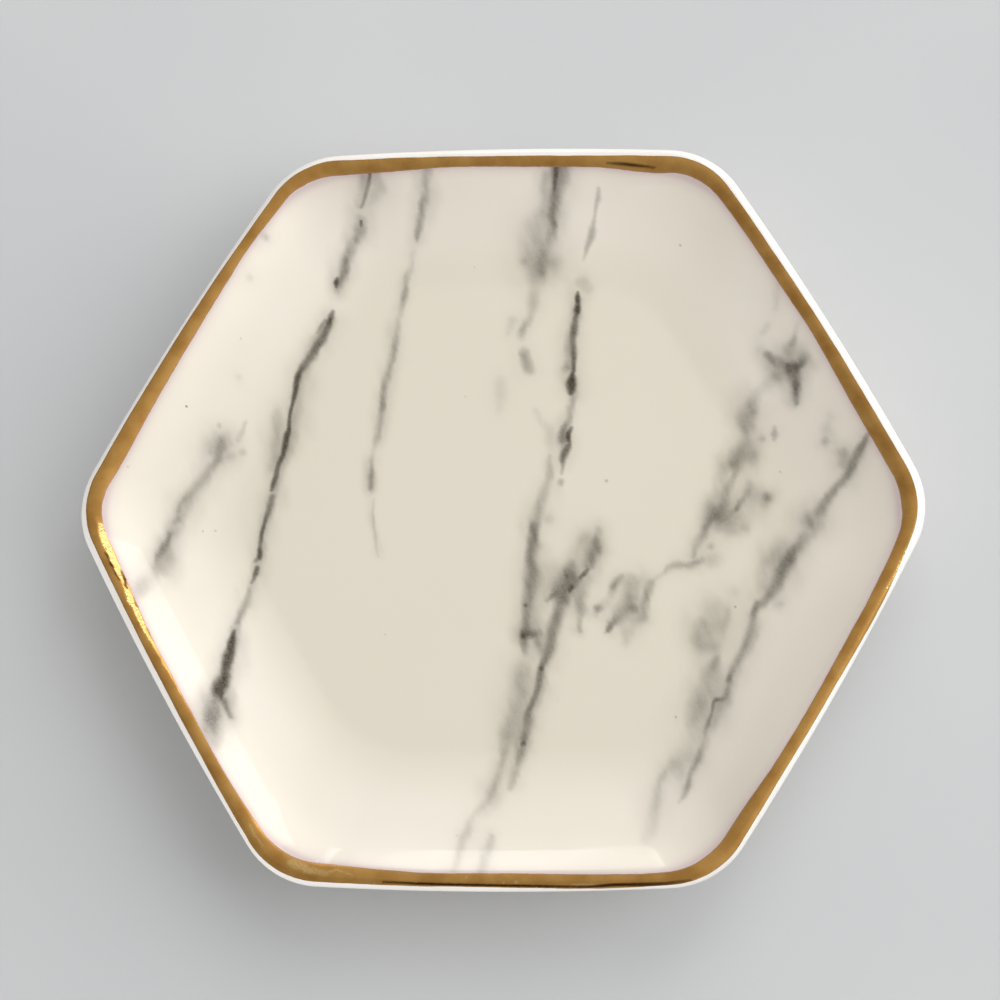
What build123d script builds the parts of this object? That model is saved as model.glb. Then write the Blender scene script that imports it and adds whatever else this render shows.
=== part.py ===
from build123d import *
import os
from math import asin, cos, degrees, radians, sin

# Hexagonal ring dish in glazed porcelain, with a marble transfer fired into the inside glaze and a gold
# line painted on the lip. Millimetres, +Z up. The origin is on the table, under the middle of the dish.
# Half widths are measured from the middle to the middle of a flat side. Two flats face front and back.

# The hexagon seen from above
sides = 6
rim_half_width = 57.75
rim_corner_radius = 13.2
rim_side_bow = 1.0

# The lip: how far its crest lies inside the rim, and its roundings
lip_crest_inset = 1.6
lip_crest_flat = 0.2
lip_outer_drop = 2.2
lip_inner_radius = 2.8

# The inside: a flat floor, a gentle slope and a steeper wall that ends in the lip
floor_inset = 21.25
floor_corner_radius = 15.0
floor_thickness = 4.3
slope_radius = 55.0
slope_start_angle = 4.0
slope_end_angle = 16.7
wall_radius = 20.0

# The underside: a foot ring round a shallow well
foot_outside_floor = 2.4
foot_ring_width = 3.3
foot_flare_radius = 1.5
foot_flare_angle = 22.0
foot_edge_radius = 0.5
well_depth = 3.0
well_corner_radius = 1.5
underside_start_share = 0.40
underside_end_share = 0.20

# The layers over the clay
glaze_thickness = 0.3
foot_bare_height = 0.8
transfer_thickness = 0.1
gold_thickness = 0.08
gold_outer_inset = 1.05
gold_inner_inset = 2.8
gold_outer_corner_radius = 12.8
gold_inner_corner_radius = 14.6

# How far a cutting block runs past what it cuts
cut_overrun = 1.0

# Steps along each curve of a profile, where the lofts have a hexagon
lip_steps = 3
wall_steps = 4
slope_steps = 4
flare_steps = 3
underside_steps = 6
lip_outer_steps = 4

side_turn = 360 / sides
lip_crest_half_width = rim_half_width - lip_crest_inset
floor_half_width = rim_half_width - floor_inset
foot_half_width = floor_half_width + foot_outside_floor
gold_outer_half_width = rim_half_width - gold_outer_inset
gold_inner_half_width = rim_half_width - gold_inner_inset


def corner_radius_at(half_width):
    """The corner radius grows in even proportion from the rim to the softer corners of the floor."""
    share = (half_width - floor_half_width) / (rim_half_width - floor_half_width)
    return floor_corner_radius + (rim_corner_radius - floor_corner_radius) * share


def hexagon(half_width, corner_radius):
    """A hexagon with slightly bowed sides and round corners."""
    bow = rim_side_bow * half_width / rim_half_width
    tip = (half_width - bow) / cos(radians(side_turn / 2))
    with BuildSketch() as outline:
        with BuildLine():
            for side in range(sides):
                start = Vector(tip, 0).rotate(Axis.Z, side_turn * side)
                middle = Vector(half_width, 0).rotate(Axis.Z, side_turn * (side + 1 / 2))
                end = Vector(tip, 0).rotate(Axis.Z, side_turn * (side + 1))
                ThreePointArc(start, middle, end)
        make_face()
        fillet(outline.vertices(), radius=corner_radius)
    return outline.sketch


def hexagon_block(half_width, corner_radius, bottom, top, top_edge_radius=0):
    """An upright block on a hexagon, with its top edge rounded where a radius is given."""
    with BuildPart() as block:
        with BuildSketch(Plane.XY.offset(bottom)):
            add(hexagon(half_width, corner_radius))
        extrude(amount=top - bottom)
        if top_edge_radius:
            fillet(block.faces().sort_by(Axis.Z)[-1].edges(), radius=top_edge_radius)
    return block.part


def lofted(curves, rise):
    """A smooth solid through hexagons that stand on a profile, which is moved by rise towards the air.

    The profile runs with the air on its right hand, so the way to the air is its tangent turned right.
    """
    stations = []
    for curve, steps in curves:
        for step in range(1 if stations else 0, steps + 1):
            place = curve @ (step / steps)
            along = curve % (step / steps)
            stations.append((place.X + rise * along.Y, place.Y - rise * along.X))
    with BuildPart() as solid:
        for half_width, level in stations:
            with BuildSketch(Plane.XY.offset(level)):
                add(hexagon(half_width, corner_radius_at(half_width)))
        loft()
    return solid.part


# Both profiles are drawn flat: X is the half width and Y is the height over the table.
# The inside profile is three arcs, each tangent to the next. The wall's steepest angle is the one at which
# they span from the crest of the lip to the edge of the floor, and the height of the dish follows from it.
slope_start, slope_end = radians(slope_start_angle), radians(slope_end_angle)
slope_half_width = floor_half_width + slope_radius * (sin(slope_end) - sin(slope_start))
wall_span = lip_crest_half_width - slope_half_width
wall_steepest = asin((wall_span + wall_radius * sin(slope_end)) / (wall_radius + lip_inner_radius))
wall_turn = degrees(wall_steepest) - slope_end_angle
slope_turn = slope_end_angle - slope_start_angle

floor_height = well_depth + floor_thickness
slope_rise = slope_radius * (cos(slope_start) - cos(slope_end))
wall_rise = wall_radius * (cos(slope_end) - cos(wall_steepest))
lip_rise = lip_inner_radius * (1 - cos(wall_steepest))
height = floor_height + slope_rise + wall_rise + lip_rise

# It is drawn from the crest down to the floor.
with BuildLine():
    lip_curve = JernArc((lip_crest_half_width, height), (-1, 0), lip_inner_radius, degrees(wall_steepest))
    wall_curve = JernArc(lip_curve @ 1, lip_curve % 1, wall_radius, -wall_turn)
    slope_curve = JernArc(wall_curve @ 1, wall_curve % 1, slope_radius, -slope_turn)
inside_curves = ((lip_curve, lip_steps), (wall_curve, wall_steps), (slope_curve, slope_steps))

# The outside profile is drawn from the glaze line on the foot up to the crest of the lip.
lip_top_half_width = lip_crest_half_width + lip_crest_flat
lip_outer_width = rim_half_width - lip_top_half_width
widest_height = height - lip_outer_drop

with BuildLine():
    flare_curve = JernArc((foot_half_width, foot_bare_height), (0, 1), foot_flare_radius, foot_flare_angle - 90)
    flare_end = flare_curve @ 1
    widest_point = Vector(rim_half_width, widest_height)
    reach = (widest_point - flare_end).length
    lower_pull = flare_end + (flare_curve % 1) * (reach * underside_start_share)
    upper_pull = widest_point - Vector(0, reach * underside_end_share)
    underside_curve = Bezier(flare_end, lower_pull, upper_pull, widest_point)
    lip_outer_curve = EllipticalCenterArc(
        (lip_top_half_width, widest_height), lip_outer_width, lip_outer_drop, arc_size=90
    )
outside_curves = (
    (flare_curve, flare_steps),
    (underside_curve, underside_steps),
    (lip_outer_curve, lip_outer_steps),
)

# The dish without its foot, to the face of the glaze and to the clay
glazed_hollow = lofted(inside_curves, 0)

with BuildPart() as glazed_dish:
    add(lofted(outside_curves, 0))
    add(glazed_hollow, mode=Mode.SUBTRACT)

with BuildPart() as clay_dish:
    add(lofted(outside_curves, -glaze_thickness))
    add(lofted(inside_curves, -glaze_thickness), mode=Mode.SUBTRACT)

# The shallow well under the dish, to the clay and to the face of its glaze
foot_clay_half_width = foot_half_width - glaze_thickness
well_half_width = foot_clay_half_width - foot_ring_width
well_glazed_half_width = well_half_width - glaze_thickness
well_glazed_radius = well_corner_radius - glaze_thickness
clay_well = hexagon_block(
    well_half_width, corner_radius_at(well_half_width), 0, well_depth + glaze_thickness, well_corner_radius
)
glazed_well = hexagon_block(
    well_glazed_half_width, corner_radius_at(well_glazed_half_width), 0, well_depth, well_glazed_radius
)

# The fired clay: dish, lip and foot ring in one piece. The bottom of the foot ring is left bare.
with BuildPart() as porcelain_body:
    add(clay_dish.part)
    with BuildSketch():
        add(hexagon(foot_clay_half_width, corner_radius_at(foot_clay_half_width)))
    extrude(amount=foot_bare_height)
    add(clay_well, mode=Mode.SUBTRACT)
    fillet(porcelain_body.faces().sort_by(Axis.Z)[0].edges(), radius=foot_edge_radius)
porcelain_body.part.label = "porcelain_body"

# The marble transfer lies in the top of the inside glaze, from the floor up to the gold line.
with BuildPart() as marble_transfer:
    with BuildSketch(Plane.XY.offset(well_depth)):
        add(hexagon(gold_inner_half_width, gold_inner_corner_radius))
    extrude(amount=height - well_depth + cut_overrun)
    add(lofted(inside_curves, -transfer_thickness), mode=Mode.INTERSECT)
    add(glazed_hollow, mode=Mode.SUBTRACT)
marble_transfer.part.label = "marble_transfer"

# The main coat of glaze runs from the floor over the lip and down the outside to the foot.
with BuildPart() as glaze_coat:
    add(glazed_dish.part)
    add(clay_dish.part, mode=Mode.SUBTRACT)
    add(marble_transfer.part, mode=Mode.SUBTRACT)
glaze_coat.part.label = "glaze_coat"

# The foot ring keeps the glaze in the well apart from the main coat.
with BuildPart() as foot_well_glaze:
    add(clay_well)
    add(glazed_well, mode=Mode.SUBTRACT)
    with BuildSketch():
        add(hexagon(foot_half_width, corner_radius_at(foot_half_width)))
    extrude(amount=foot_bare_height, mode=Mode.SUBTRACT)
foot_well_glaze.part.label = "foot_well_glaze"

# The gold line is a thin raised band over the crest of the lip, between two upright hexagons.
with BuildPart() as gold_rim_band:
    with BuildSketch(Plane.XY.offset(widest_height + gold_thickness)):
        add(hexagon(gold_outer_half_width, gold_outer_corner_radius))
        add(hexagon(gold_inner_half_width, gold_inner_corner_radius), mode=Mode.SUBTRACT)
    extrude(amount=lip_outer_drop + cut_overrun)
    add(lofted(outside_curves, gold_thickness), mode=Mode.INTERSECT)
    add(lofted(inside_curves, gold_thickness), mode=Mode.SUBTRACT)
    add(glazed_dish.part, mode=Mode.SUBTRACT)
gold_rim_band.part.label = "gold_rim_band"

os.makedirs("parts", exist_ok=True)
export_step(porcelain_body.part, "parts/porcelain_body.step")
export_step(glaze_coat.part, "parts/glaze_coat.step")
export_step(foot_well_glaze.part, "parts/foot_well_glaze.step")
export_step(marble_transfer.part, "parts/marble_transfer.step")
export_step(gold_rim_band.part, "parts/gold_rim_band.step")
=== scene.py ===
import math

import bpy
import numpy as np
from mathutils import Matrix, Quaternion, Vector
from mathutils.geometry import delaunay_2d_cdt


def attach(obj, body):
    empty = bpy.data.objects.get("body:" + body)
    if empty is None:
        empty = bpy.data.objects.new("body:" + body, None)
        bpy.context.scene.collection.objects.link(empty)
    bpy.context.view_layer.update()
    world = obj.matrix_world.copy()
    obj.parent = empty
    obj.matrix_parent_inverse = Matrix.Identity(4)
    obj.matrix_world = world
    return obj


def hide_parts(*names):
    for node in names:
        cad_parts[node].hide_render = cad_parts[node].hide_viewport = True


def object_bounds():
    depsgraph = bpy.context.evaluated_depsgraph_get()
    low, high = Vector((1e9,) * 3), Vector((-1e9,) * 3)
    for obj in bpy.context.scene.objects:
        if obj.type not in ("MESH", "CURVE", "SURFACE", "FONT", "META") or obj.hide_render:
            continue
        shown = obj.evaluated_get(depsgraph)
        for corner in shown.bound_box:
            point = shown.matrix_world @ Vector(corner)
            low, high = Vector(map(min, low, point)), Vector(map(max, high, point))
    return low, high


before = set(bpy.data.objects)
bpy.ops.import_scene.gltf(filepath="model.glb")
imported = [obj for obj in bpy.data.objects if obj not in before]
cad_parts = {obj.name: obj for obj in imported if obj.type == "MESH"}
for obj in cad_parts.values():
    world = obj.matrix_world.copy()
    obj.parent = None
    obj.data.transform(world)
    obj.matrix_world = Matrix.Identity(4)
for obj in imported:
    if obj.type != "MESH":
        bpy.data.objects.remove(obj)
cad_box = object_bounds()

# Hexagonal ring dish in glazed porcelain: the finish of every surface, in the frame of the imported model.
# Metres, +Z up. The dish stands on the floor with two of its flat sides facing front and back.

MM = 0.001

# Sizes of the dish
SIDES = 6
SIDE_TURN = 2 * math.pi / SIDES
RIM_HALF_WIDTH = 57.75 * MM
RIM_CORNER_RADIUS = 13.2 * MM
RIM_SIDE_BOW = 1.0 * MM
LIP_CREST_INSET = 1.6 * MM
LIP_CREST_FLAT = 0.2 * MM
LIP_OUTER_DROP = 2.2 * MM
LIP_INNER_RADIUS = 2.8 * MM
FLOOR_INSET = 21.25 * MM
FLOOR_CORNER_RADIUS = 15.0 * MM
SLOPE_RADIUS = 55.0 * MM
SLOPE_START, SLOPE_END = math.radians(4), math.radians(16.7)
WALL_RADIUS = 20.0 * MM
FOOT_OUTSIDE_FLOOR = 2.4 * MM
FOOT_FLARE_RADIUS = 1.5 * MM
FOOT_FLARE_ANGLE = math.radians(22)
FOOT_BARE_HEIGHT = 0.8 * MM
UNDERSIDE_START_SHARE, UNDERSIDE_END_SHARE = 0.40, 0.20
GLAZE_THICKNESS = 0.3 * MM
TRANSFER_THICKNESS = 0.1 * MM
GOLD_THICKNESS = 0.08 * MM

HEIGHT = cad_box[1][2] - GOLD_THICKNESS
LIP_CREST = RIM_HALF_WIDTH - LIP_CREST_INSET
LIP_TOP = LIP_CREST + LIP_CREST_FLAT
FLOOR_HALF_WIDTH = RIM_HALF_WIDTH - FLOOR_INSET
FOOT_HALF_WIDTH = FLOOR_HALF_WIDTH + FOOT_OUTSIDE_FLOOR
SLOPE_HALF_WIDTH = FLOOR_HALF_WIDTH + SLOPE_RADIUS * (math.sin(SLOPE_END) - math.sin(SLOPE_START))
WALL_STEEPEST = math.asin(
    (LIP_CREST - SLOPE_HALF_WIDTH + WALL_RADIUS * math.sin(SLOPE_END)) / (WALL_RADIUS + LIP_INNER_RADIUS)
)
WALL_HALF_WIDTH = SLOPE_HALF_WIDTH + WALL_RADIUS * (math.sin(WALL_STEEPEST) - math.sin(SLOPE_END))
WALL_TOP = HEIGHT - LIP_INNER_RADIUS * (1 - math.cos(WALL_STEEPEST))
SLOPE_TOP = WALL_TOP - WALL_RADIUS * (math.cos(SLOPE_END) - math.cos(WALL_STEEPEST))
FLOOR_HEIGHT = SLOPE_TOP - SLOPE_RADIUS * (math.cos(SLOPE_START) - math.cos(SLOPE_END))
WIDEST_HEIGHT = HEIGHT - LIP_OUTER_DROP

FLARE_STEPS, BELLY_STEPS, LIP_STEPS = 8, 32, 16  # along the outside profile
FLOOR_SOFTNESS = 1.2 * MM  # over this width the normals turn from the floor's to the slope's
LIP_END = 0.998  # share of the lip's outer width, past which it would be too steep to work out
STEPS_OUT = 16  # more than enough to settle on a half width
SMALL_STEP = 0.01 * MM  # over which a slope is taken


def corner_radius_at(half_width):
    """The corner radius grows in even proportion from the rim to the softer corners of the floor."""
    share = (half_width - FLOOR_HALF_WIDTH) / (RIM_HALF_WIDTH - FLOOR_HALF_WIDTH)
    return FLOOR_CORNER_RADIUS + (RIM_CORNER_RADIUS - FLOOR_CORNER_RADIUS) * share


def hexagon_parts(half_width, corner_radius):
    """One sector of the hexagon, seen with +x along the side's normal.

    The side is an arc that bows out between the two tips: its radius is (half chord² + bow²) / (2 bow). The
    corner is an arc tangent inside it, with its centre on the line to the tip. Returns the side's centre and
    radius, the distance of the corner's centre, and the turn of the normal where the two arcs meet.
    """
    bow = RIM_SIDE_BOW * half_width / RIM_HALF_WIDTH
    chord_half = (half_width - bow) * math.tan(SIDE_TURN / 2)
    side_radius = (chord_half**2 + bow**2) / (2 * bow)
    side_centre = half_width - side_radius
    across = side_centre * math.sin(SIDE_TURN / 2)
    along = side_centre * math.cos(SIDE_TURN / 2)
    corner_centre = along + np.sqrt((side_radius - corner_radius) ** 2 - across**2)
    meet = np.arctan2(
        corner_centre * math.sin(SIDE_TURN / 2), corner_centre * math.cos(SIDE_TURN / 2) - side_centre
    )
    return side_centre, side_radius, corner_centre, meet


def hexagon_ring(half_width, corner_radius, side_steps=24, corner_steps=20):
    """Points (x, y) round hexagons and the outward normals there, for one half width or an array of them.

    Each sector is walked by the turn of its normal: evenly over the side's arc, then over the corner's.
    """
    half_width = np.atleast_1d(half_width)[:, None]
    corner_radius = np.broadcast_to(np.atleast_1d(corner_radius)[:, None], half_width.shape)
    side_centre, side_radius, corner_centre, meet = hexagon_parts(half_width, corner_radius)
    on_side = np.linspace(-1, 1, side_steps, endpoint=False)
    on_corner = np.linspace(0, 1, corner_steps, endpoint=False)
    side_turns = meet * on_side
    corner_turns = meet + (SIDE_TURN - 2 * meet) * on_corner
    side_x = side_centre + side_radius * np.cos(side_turns)
    side_y = side_radius * np.sin(side_turns)
    corner_x = corner_centre * math.cos(SIDE_TURN / 2) + corner_radius * np.cos(corner_turns)
    corner_y = corner_centre * math.sin(SIDE_TURN / 2) + corner_radius * np.sin(corner_turns)
    x, y = np.hstack([side_x, corner_x]), np.hstack([side_y, corner_y])
    turns = np.hstack([side_turns, corner_turns])
    points, normals = [], []
    for side in range(SIDES):
        turn = SIDE_TURN * (side + 1 / 2)
        cos, sin = math.cos(turn), math.sin(turn)
        points.append(np.stack([x * cos - y * sin, x * sin + y * cos], -1))
        normals.append(np.stack([np.cos(turns + turn), np.sin(turns + turn)], -1))
    return np.concatenate(points, 1), np.concatenate(normals, 1)


def outside_by(points, half_width):
    """How far points lie outside the hexagon of each one's half width, and the hexagon's normal there."""
    turn = np.arctan2(points[:, 1], points[:, 0])
    sector = (np.floor(turn / SIDE_TURN) + 1 / 2) * SIDE_TURN
    cos, sin = np.cos(sector), np.sin(sector)
    x = points[:, 0] * cos + points[:, 1] * sin
    y = points[:, 1] * cos - points[:, 0] * sin
    mirror, y = np.where(y < 0, -1.0, 1.0), np.abs(y)
    corner_radius = corner_radius_at(half_width)
    side_centre, side_radius, corner_centre, meet = hexagon_parts(half_width, corner_radius)
    on_side = np.arctan2(y, x - side_centre) <= meet
    from_x = x - np.where(on_side, side_centre, corner_centre * math.cos(SIDE_TURN / 2))
    from_y = y - np.where(on_side, 0.0, corner_centre * math.sin(SIDE_TURN / 2))
    reach = np.hypot(from_x, from_y)
    out_x, out_y = from_x / reach, mirror * from_y / reach
    normal = np.stack([out_x * cos - out_y * sin, out_x * sin + out_y * cos], -1)
    return reach - np.where(on_side, side_radius, corner_radius), normal


def half_width_at(points):
    """The half width of the hexagon through each point, found by stepping out by the distance left over.

    Points over the flat floor get the floor's half width. Also returns the slope of half width on the plan.
    """
    half_width = np.full(len(points), FLOOR_HALF_WIDTH)
    for _ in range(STEPS_OUT):
        left, normal = outside_by(points, half_width)
        half_width = np.maximum(half_width + left, FLOOR_HALF_WIDTH)
    left, further = outside_by(points, half_width)[0], outside_by(points, half_width + SMALL_STEP)[0]
    rate = (left - further) / SMALL_STEP
    return half_width, normal / rate[:, None]


def inside_profile(half_width):
    """Height and slope angle of the inside of the dish: a flat floor, then three tangent arcs to the lip.

    Close to the floor the angle is eased, so that the normals show no crease there.
    """
    to_slope = np.clip(half_width - FLOOR_HALF_WIDTH, 0, SLOPE_HALF_WIDTH - FLOOR_HALF_WIDTH)
    slope = np.arcsin(to_slope / SLOPE_RADIUS + math.sin(SLOPE_START))
    to_wall = np.clip(half_width - SLOPE_HALF_WIDTH, 0, WALL_HALF_WIDTH - SLOPE_HALF_WIDTH)
    wall = np.arcsin(to_wall / WALL_RADIUS + math.sin(SLOPE_END))
    to_crest = np.clip(LIP_CREST - half_width, 0, LIP_CREST - WALL_HALF_WIDTH)
    lip = np.arcsin(to_crest / LIP_INNER_RADIUS)
    rise = SLOPE_RADIUS * (math.cos(SLOPE_START) - np.cos(slope))
    rise = rise + WALL_RADIUS * (math.cos(SLOPE_END) - np.cos(wall))
    rise = rise + LIP_INNER_RADIUS * (np.cos(lip) - math.cos(WALL_STEEPEST))
    angle = np.where(half_width > WALL_HALF_WIDTH, lip, np.where(half_width > SLOPE_HALF_WIDTH, wall, slope))
    soft = np.clip((half_width - FLOOR_HALF_WIDTH) / FLOOR_SOFTNESS, 0, 1)
    return FLOOR_HEIGHT + rise, angle * np.where(half_width > SLOPE_HALF_WIDTH, 1.0, soft * (2 - soft))


def glaze_face(points):
    """Height of the dish's upper face over each point of the plan, and its normal.

    Inside the crest the height is the inside profile's. Outside it the lip falls as a quarter of an ellipse.
    The normal leans by the profile's slope, down the way that the half width grows on the plan.
    """
    half_width, growth = half_width_at(points)
    height, angle = inside_profile(half_width)
    past = np.clip((half_width - LIP_TOP) / (RIM_HALF_WIDTH - LIP_TOP), 0, LIP_END)
    fall = np.sqrt(1 - past**2)
    height = np.where(half_width > LIP_TOP, WIDEST_HEIGHT + LIP_OUTER_DROP * fall, height)
    outer_slope = -LIP_OUTER_DROP / (RIM_HALF_WIDTH - LIP_TOP) * past / fall
    steepness = np.where(half_width > LIP_TOP, outer_slope, np.tan(angle))
    normal = np.column_stack([-steepness[:, None] * growth, np.ones(len(points))])
    return height, normal / np.linalg.norm(normal, axis=1)[:, None]


def arc(centre, radius, start, end, steps):
    """Points on an arc about centre, with start and end as angles from +x."""
    turn = np.linspace(start, end, steps + 1)
    return np.stack([centre[0] + radius * np.cos(turn), centre[1] + radius * np.sin(turn)], -1)


def outside_curve():
    """The outside profile from the glaze line on the foot to the crest of the lip, as in the model.

    A round flare out of the foot, a cubic curve that leaves it tangent and ends upright, then a quarter of an
    ellipse over the lip.
    """
    quarter = math.pi / 2
    foot = arc(
        (FOOT_HALF_WIDTH + FOOT_FLARE_RADIUS, FOOT_BARE_HEIGHT), FOOT_FLARE_RADIUS, 2 * quarter,
        quarter + FOOT_FLARE_ANGLE, FLARE_STEPS
    )
    end = foot[-1]
    along = np.array([math.cos(FOOT_FLARE_ANGLE), math.sin(FOOT_FLARE_ANGLE)])
    widest = np.array([RIM_HALF_WIDTH, WIDEST_HEIGHT])
    reach = np.linalg.norm(widest - end)
    controls = [
        end,
        end + along * reach * UNDERSIDE_START_SHARE,
        widest - np.array([0, reach * UNDERSIDE_END_SHARE]),
        widest,
    ]
    share = np.linspace(0, 1, BELLY_STEPS + 1)[1:, None]
    weights = [(1 - share) ** 3, 3 * share * (1 - share) ** 2, 3 * share**2 * (1 - share), share**3]
    belly = sum(weight * control for weight, control in zip(weights, controls))
    turn = np.linspace(0, quarter, LIP_STEPS + 1)[1:]
    lip = np.stack(
        [LIP_TOP + (RIM_HALF_WIDTH - LIP_TOP) * np.cos(turn), WIDEST_HEIGHT + LIP_OUTER_DROP * np.sin(turn)], -1
    )
    return np.concatenate([foot, belly, lip])


def inside_curve(start, end, steps):
    """The inside profile between two half widths, from start to end."""
    half_width = np.linspace(start, end, steps + 1)
    return np.stack([half_width, inside_profile(half_width)[0]], -1)


def profile_normals(curve):
    """Unit normals of a profile on its right hand, from the slope through each point's neighbours."""
    along = np.gradient(curve, axis=0)
    along /= np.linalg.norm(along, axis=1)[:, None]
    return np.stack([along[:, 1], -along[:, 0]], -1)


# The camera and its picture
PICTURE_SIDE = 1000
FOCAL_PIXELS = 2700
CAMERA_AT = np.array([33.56, -101.2, 404.79]) * MM
CAMERA_TURNS = (("X", -0.25467), ("Y", -0.0809), ("Z", -0.01328))


def camera_axes():
    """The camera's own x, y and z as rows, from its three turns."""
    axes = Matrix.Identity(3)
    for axis, angle in CAMERA_TURNS:
        axes = axes @ Matrix.Rotation(angle, 3, axis)
    return axes


def seen_at(points):
    """The pixel (x, y) at which the camera sees each point."""
    seen = (points - CAMERA_AT) @ np.array(camera_axes()).T
    half = PICTURE_SIDE / 2
    return half - FOCAL_PIXELS * seen[:, 0] / seen[:, 2], half + FOCAL_PIXELS * seen[:, 1] / seen[:, 2]


# The veins of the marble transfer. Each is a set of strokes, and each stroke a chain of (x, y, half width,
# strength of the ink), in pixels of the photograph. Lines have firm edges and washes soft ones.
LEFT_BRANCH = {
    "lines": [
        [(170, 535, 1.6, .4), (166, 543, 1.8, .5), (160.6, 555, 1.8, .5)], [(219.2, 424.7, 1.5, .5)],
        [(245.6, 423, 1.3, .4), (242, 431, 1.6, .42), (238, 440, 1.4, .35)], [(242.5, 452.5, 2.2, .45)],
        [(210, 452.5, 1.6, .3)], [(222, 440, 2.2, .5), (219.5, 449, 2.4, .6), (217.5, 459, 2, .55),
         (211.5, 468, 2.2, .4), (204, 478, 2.4, .42), (196.5, 487, 2.2, .4), (190, 494, 2.4, .45),
         (185, 498, 1.5, .6), (181, 504, 1.5, .5), (178.4, 510, 1.4, .45)], [(177.4, 519, 1.8, .55),
         (174.6, 522, 1.4, .4)], [(171, 534, 1.4, .4), (166.5, 542, 1.5, .42), (163.2, 548, 1.7, .55),
         (158.5, 556, 1.4, .35), (153, 568, 1.2, .22)],
    ],
    "washes": [
        [(221, 440, 8, .2), (212, 446, 8, .2)], [(184, 502, 6, .22), (176, 520, 6.6, .26), (169, 536, 6.6, .26),
         (162, 551, 6, .26), (158, 566, 7, .16)], [(168, 552, 5.5, .2), (161, 564, 6.5, .2), (151, 577, 6.5, .16),
         (142, 587, 7, .3), (136, 596, 4.5, .12)], [(172, 560, 5, .16), (168, 572, 4, .12)], [(221, 444, 7, .3),
         (220, 456, 6, .26), (231, 455, 4, .22)], [(216, 462, 4.6, .22), (205, 478, 5.6, .24), (195, 490, 6, .26),
         (187, 502, 6, .28), (182, 514, 5, .22), (175, 530, 4.4, .18), (167, 544, 4.2, .18), (158, 558, 3.6, .12)],
    ],
}
FIRST_VEIN = {
    "lines": [
        [(370, 172, 1.2, .85), (369.4, 177, 1.3, .6), (367.6, 187, 1.6, .42), (364.4, 198, 1.3, .4),
         (361, 207, 1, .3)], [(361, 222, 1.1, .75), (360.8, 226, 1, .5)], [(346, 260, 2, .42), (345, 269, 2, .34),
         (340, 281, 1.6, .3)], [(337, 279, 1.3, .7), (336.4, 283, 1.6, 1), (336.2, 286.5, 1.2, .6)],
        [(333, 312, 1.4, .55), (331, 317, 2, .7), (329.6, 321, 1.9, .85), (327, 329, 2.4, .55), (322, 339, 2.8, .5),
         (317.5, 346, 2.5, .65), (312, 354, 2.7, .5), (305, 364, 2.5, .52), (300.4, 371, 2, .75),
         (298, 377, 2.2, .92), (296.2, 384, 2.2, .9), (295.2, 392, 1.8, .9), (293.2, 402, 1.3, .85),
         (291, 411, 1.2, .8), (289.5, 421, 1.3, .8), (288.8, 430, 1.6, .9), (287, 436, 2.2, .95),
         (285.2, 445, 2.1, .95), (282.8, 455, 1.7, .85), (278.8, 464, 1.6, .7), (275.2, 478, 1.7, .7),
         (273, 485, 1.6, .75), (271.8, 490, 1.2, .6)], [(324.6, 320, 1.1, .55), (321, 326, 1.2, .5),
         (317.4, 332, 1, .35)], [(272.4, 497, 2, .42), (270, 505, 2.2, .45), (267.5, 513, 1.8, .5),
         (265.2, 521, 1.3, .7), (263.3, 528, 1.3, .75), (261.4, 536, 1.4, .8), (260.2, 545, 1.2, .55),
         (259.8, 553, 1.7, .9), (259.4, 558, 1.7, .85)], [(256, 561, 1.2, .6)], [(257.2, 568, 1.5, .75),
         (256.2, 573, 1.6, .7), (254, 579, 1.3, .55), (252, 583, 1, .4)], [(250, 591, 1.8, .25), (246, 603, 2, .3),
         (241, 614, 1.8, .3), (237.5, 622, 1.6, .35)], [(234.2, 631, 1.2, .7), (232.8, 637, 2, .9),
         (231.6, 643, 2.6, .92), (230.4, 650, 3.2, .9), (228.6, 657, 3.6, .88), (226.2, 664, 3.4, .8),
         (225.2, 671, 2.8, .7), (224.5, 678, 3.6, .85), (220.6, 685, 4.8, .9), (217.4, 690, 4.4, .85)],
        [(221, 694, 1.8, .8), (221.2, 699, 1, .6)], [(224.4, 701, 1.6, .5), (227.5, 709, 1.4, .45),
         (230.6, 717, 1.2, .35)],
    ],
    "washes": [
        [(213, 700, 6.5, .26), (212, 712, 7.5, .3), (213, 724, 7, .28), (216, 736, 6, .22), (219, 746, 4, .12)],
        [(372, 174, 5, .18), (378, 188, 6, .14), (372, 200, 5, .1)], [(363, 180, 4, .16), (360, 205, 4, .12)],
        [(361, 221, 5, .22), (360, 232, 5, .24), (357, 239, 4, .16)], [(355, 240, 3, .16), (350, 250, 4, .24),
         (345, 264, 4.4, .28), (341, 280, 4, .28), (337, 290, 3.4, .14)], [(338, 285, 4, .22)],
        [(331, 320, 4.5, .25), (323, 332, 5, .28), (316, 347, 5, .26), (307, 362, 4.4, .26), (301, 376, 5, .24),
         (298, 392, 5.4, .2), (295, 410, 5.4, .18), (292, 430, 5.4, .2), (288, 448, 5, .22), (280, 470, 4, .18),
         (274, 490, 4, .2), (269, 508, 4.4, .22), (264, 530, 4, .18), (260, 556, 4, .18), (254, 580, 3.6, .14),
         (246, 604, 4, .14), (238, 622, 4, .2), (232, 645, 5, .3), (226, 668, 6, .32), (219, 690, 6, .3)],
        [(277, 412, 4, .1), (277, 430, 5.4, .16), (276, 455, 4.6, .16), (272, 470, 3.4, .1)], [(216, 700, 5, .22),
         (212, 716, 6, .24), (209, 730, 5, .16)], [(226, 704, 4, .2), (230, 716, 4, .14)],
    ],
}
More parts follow.
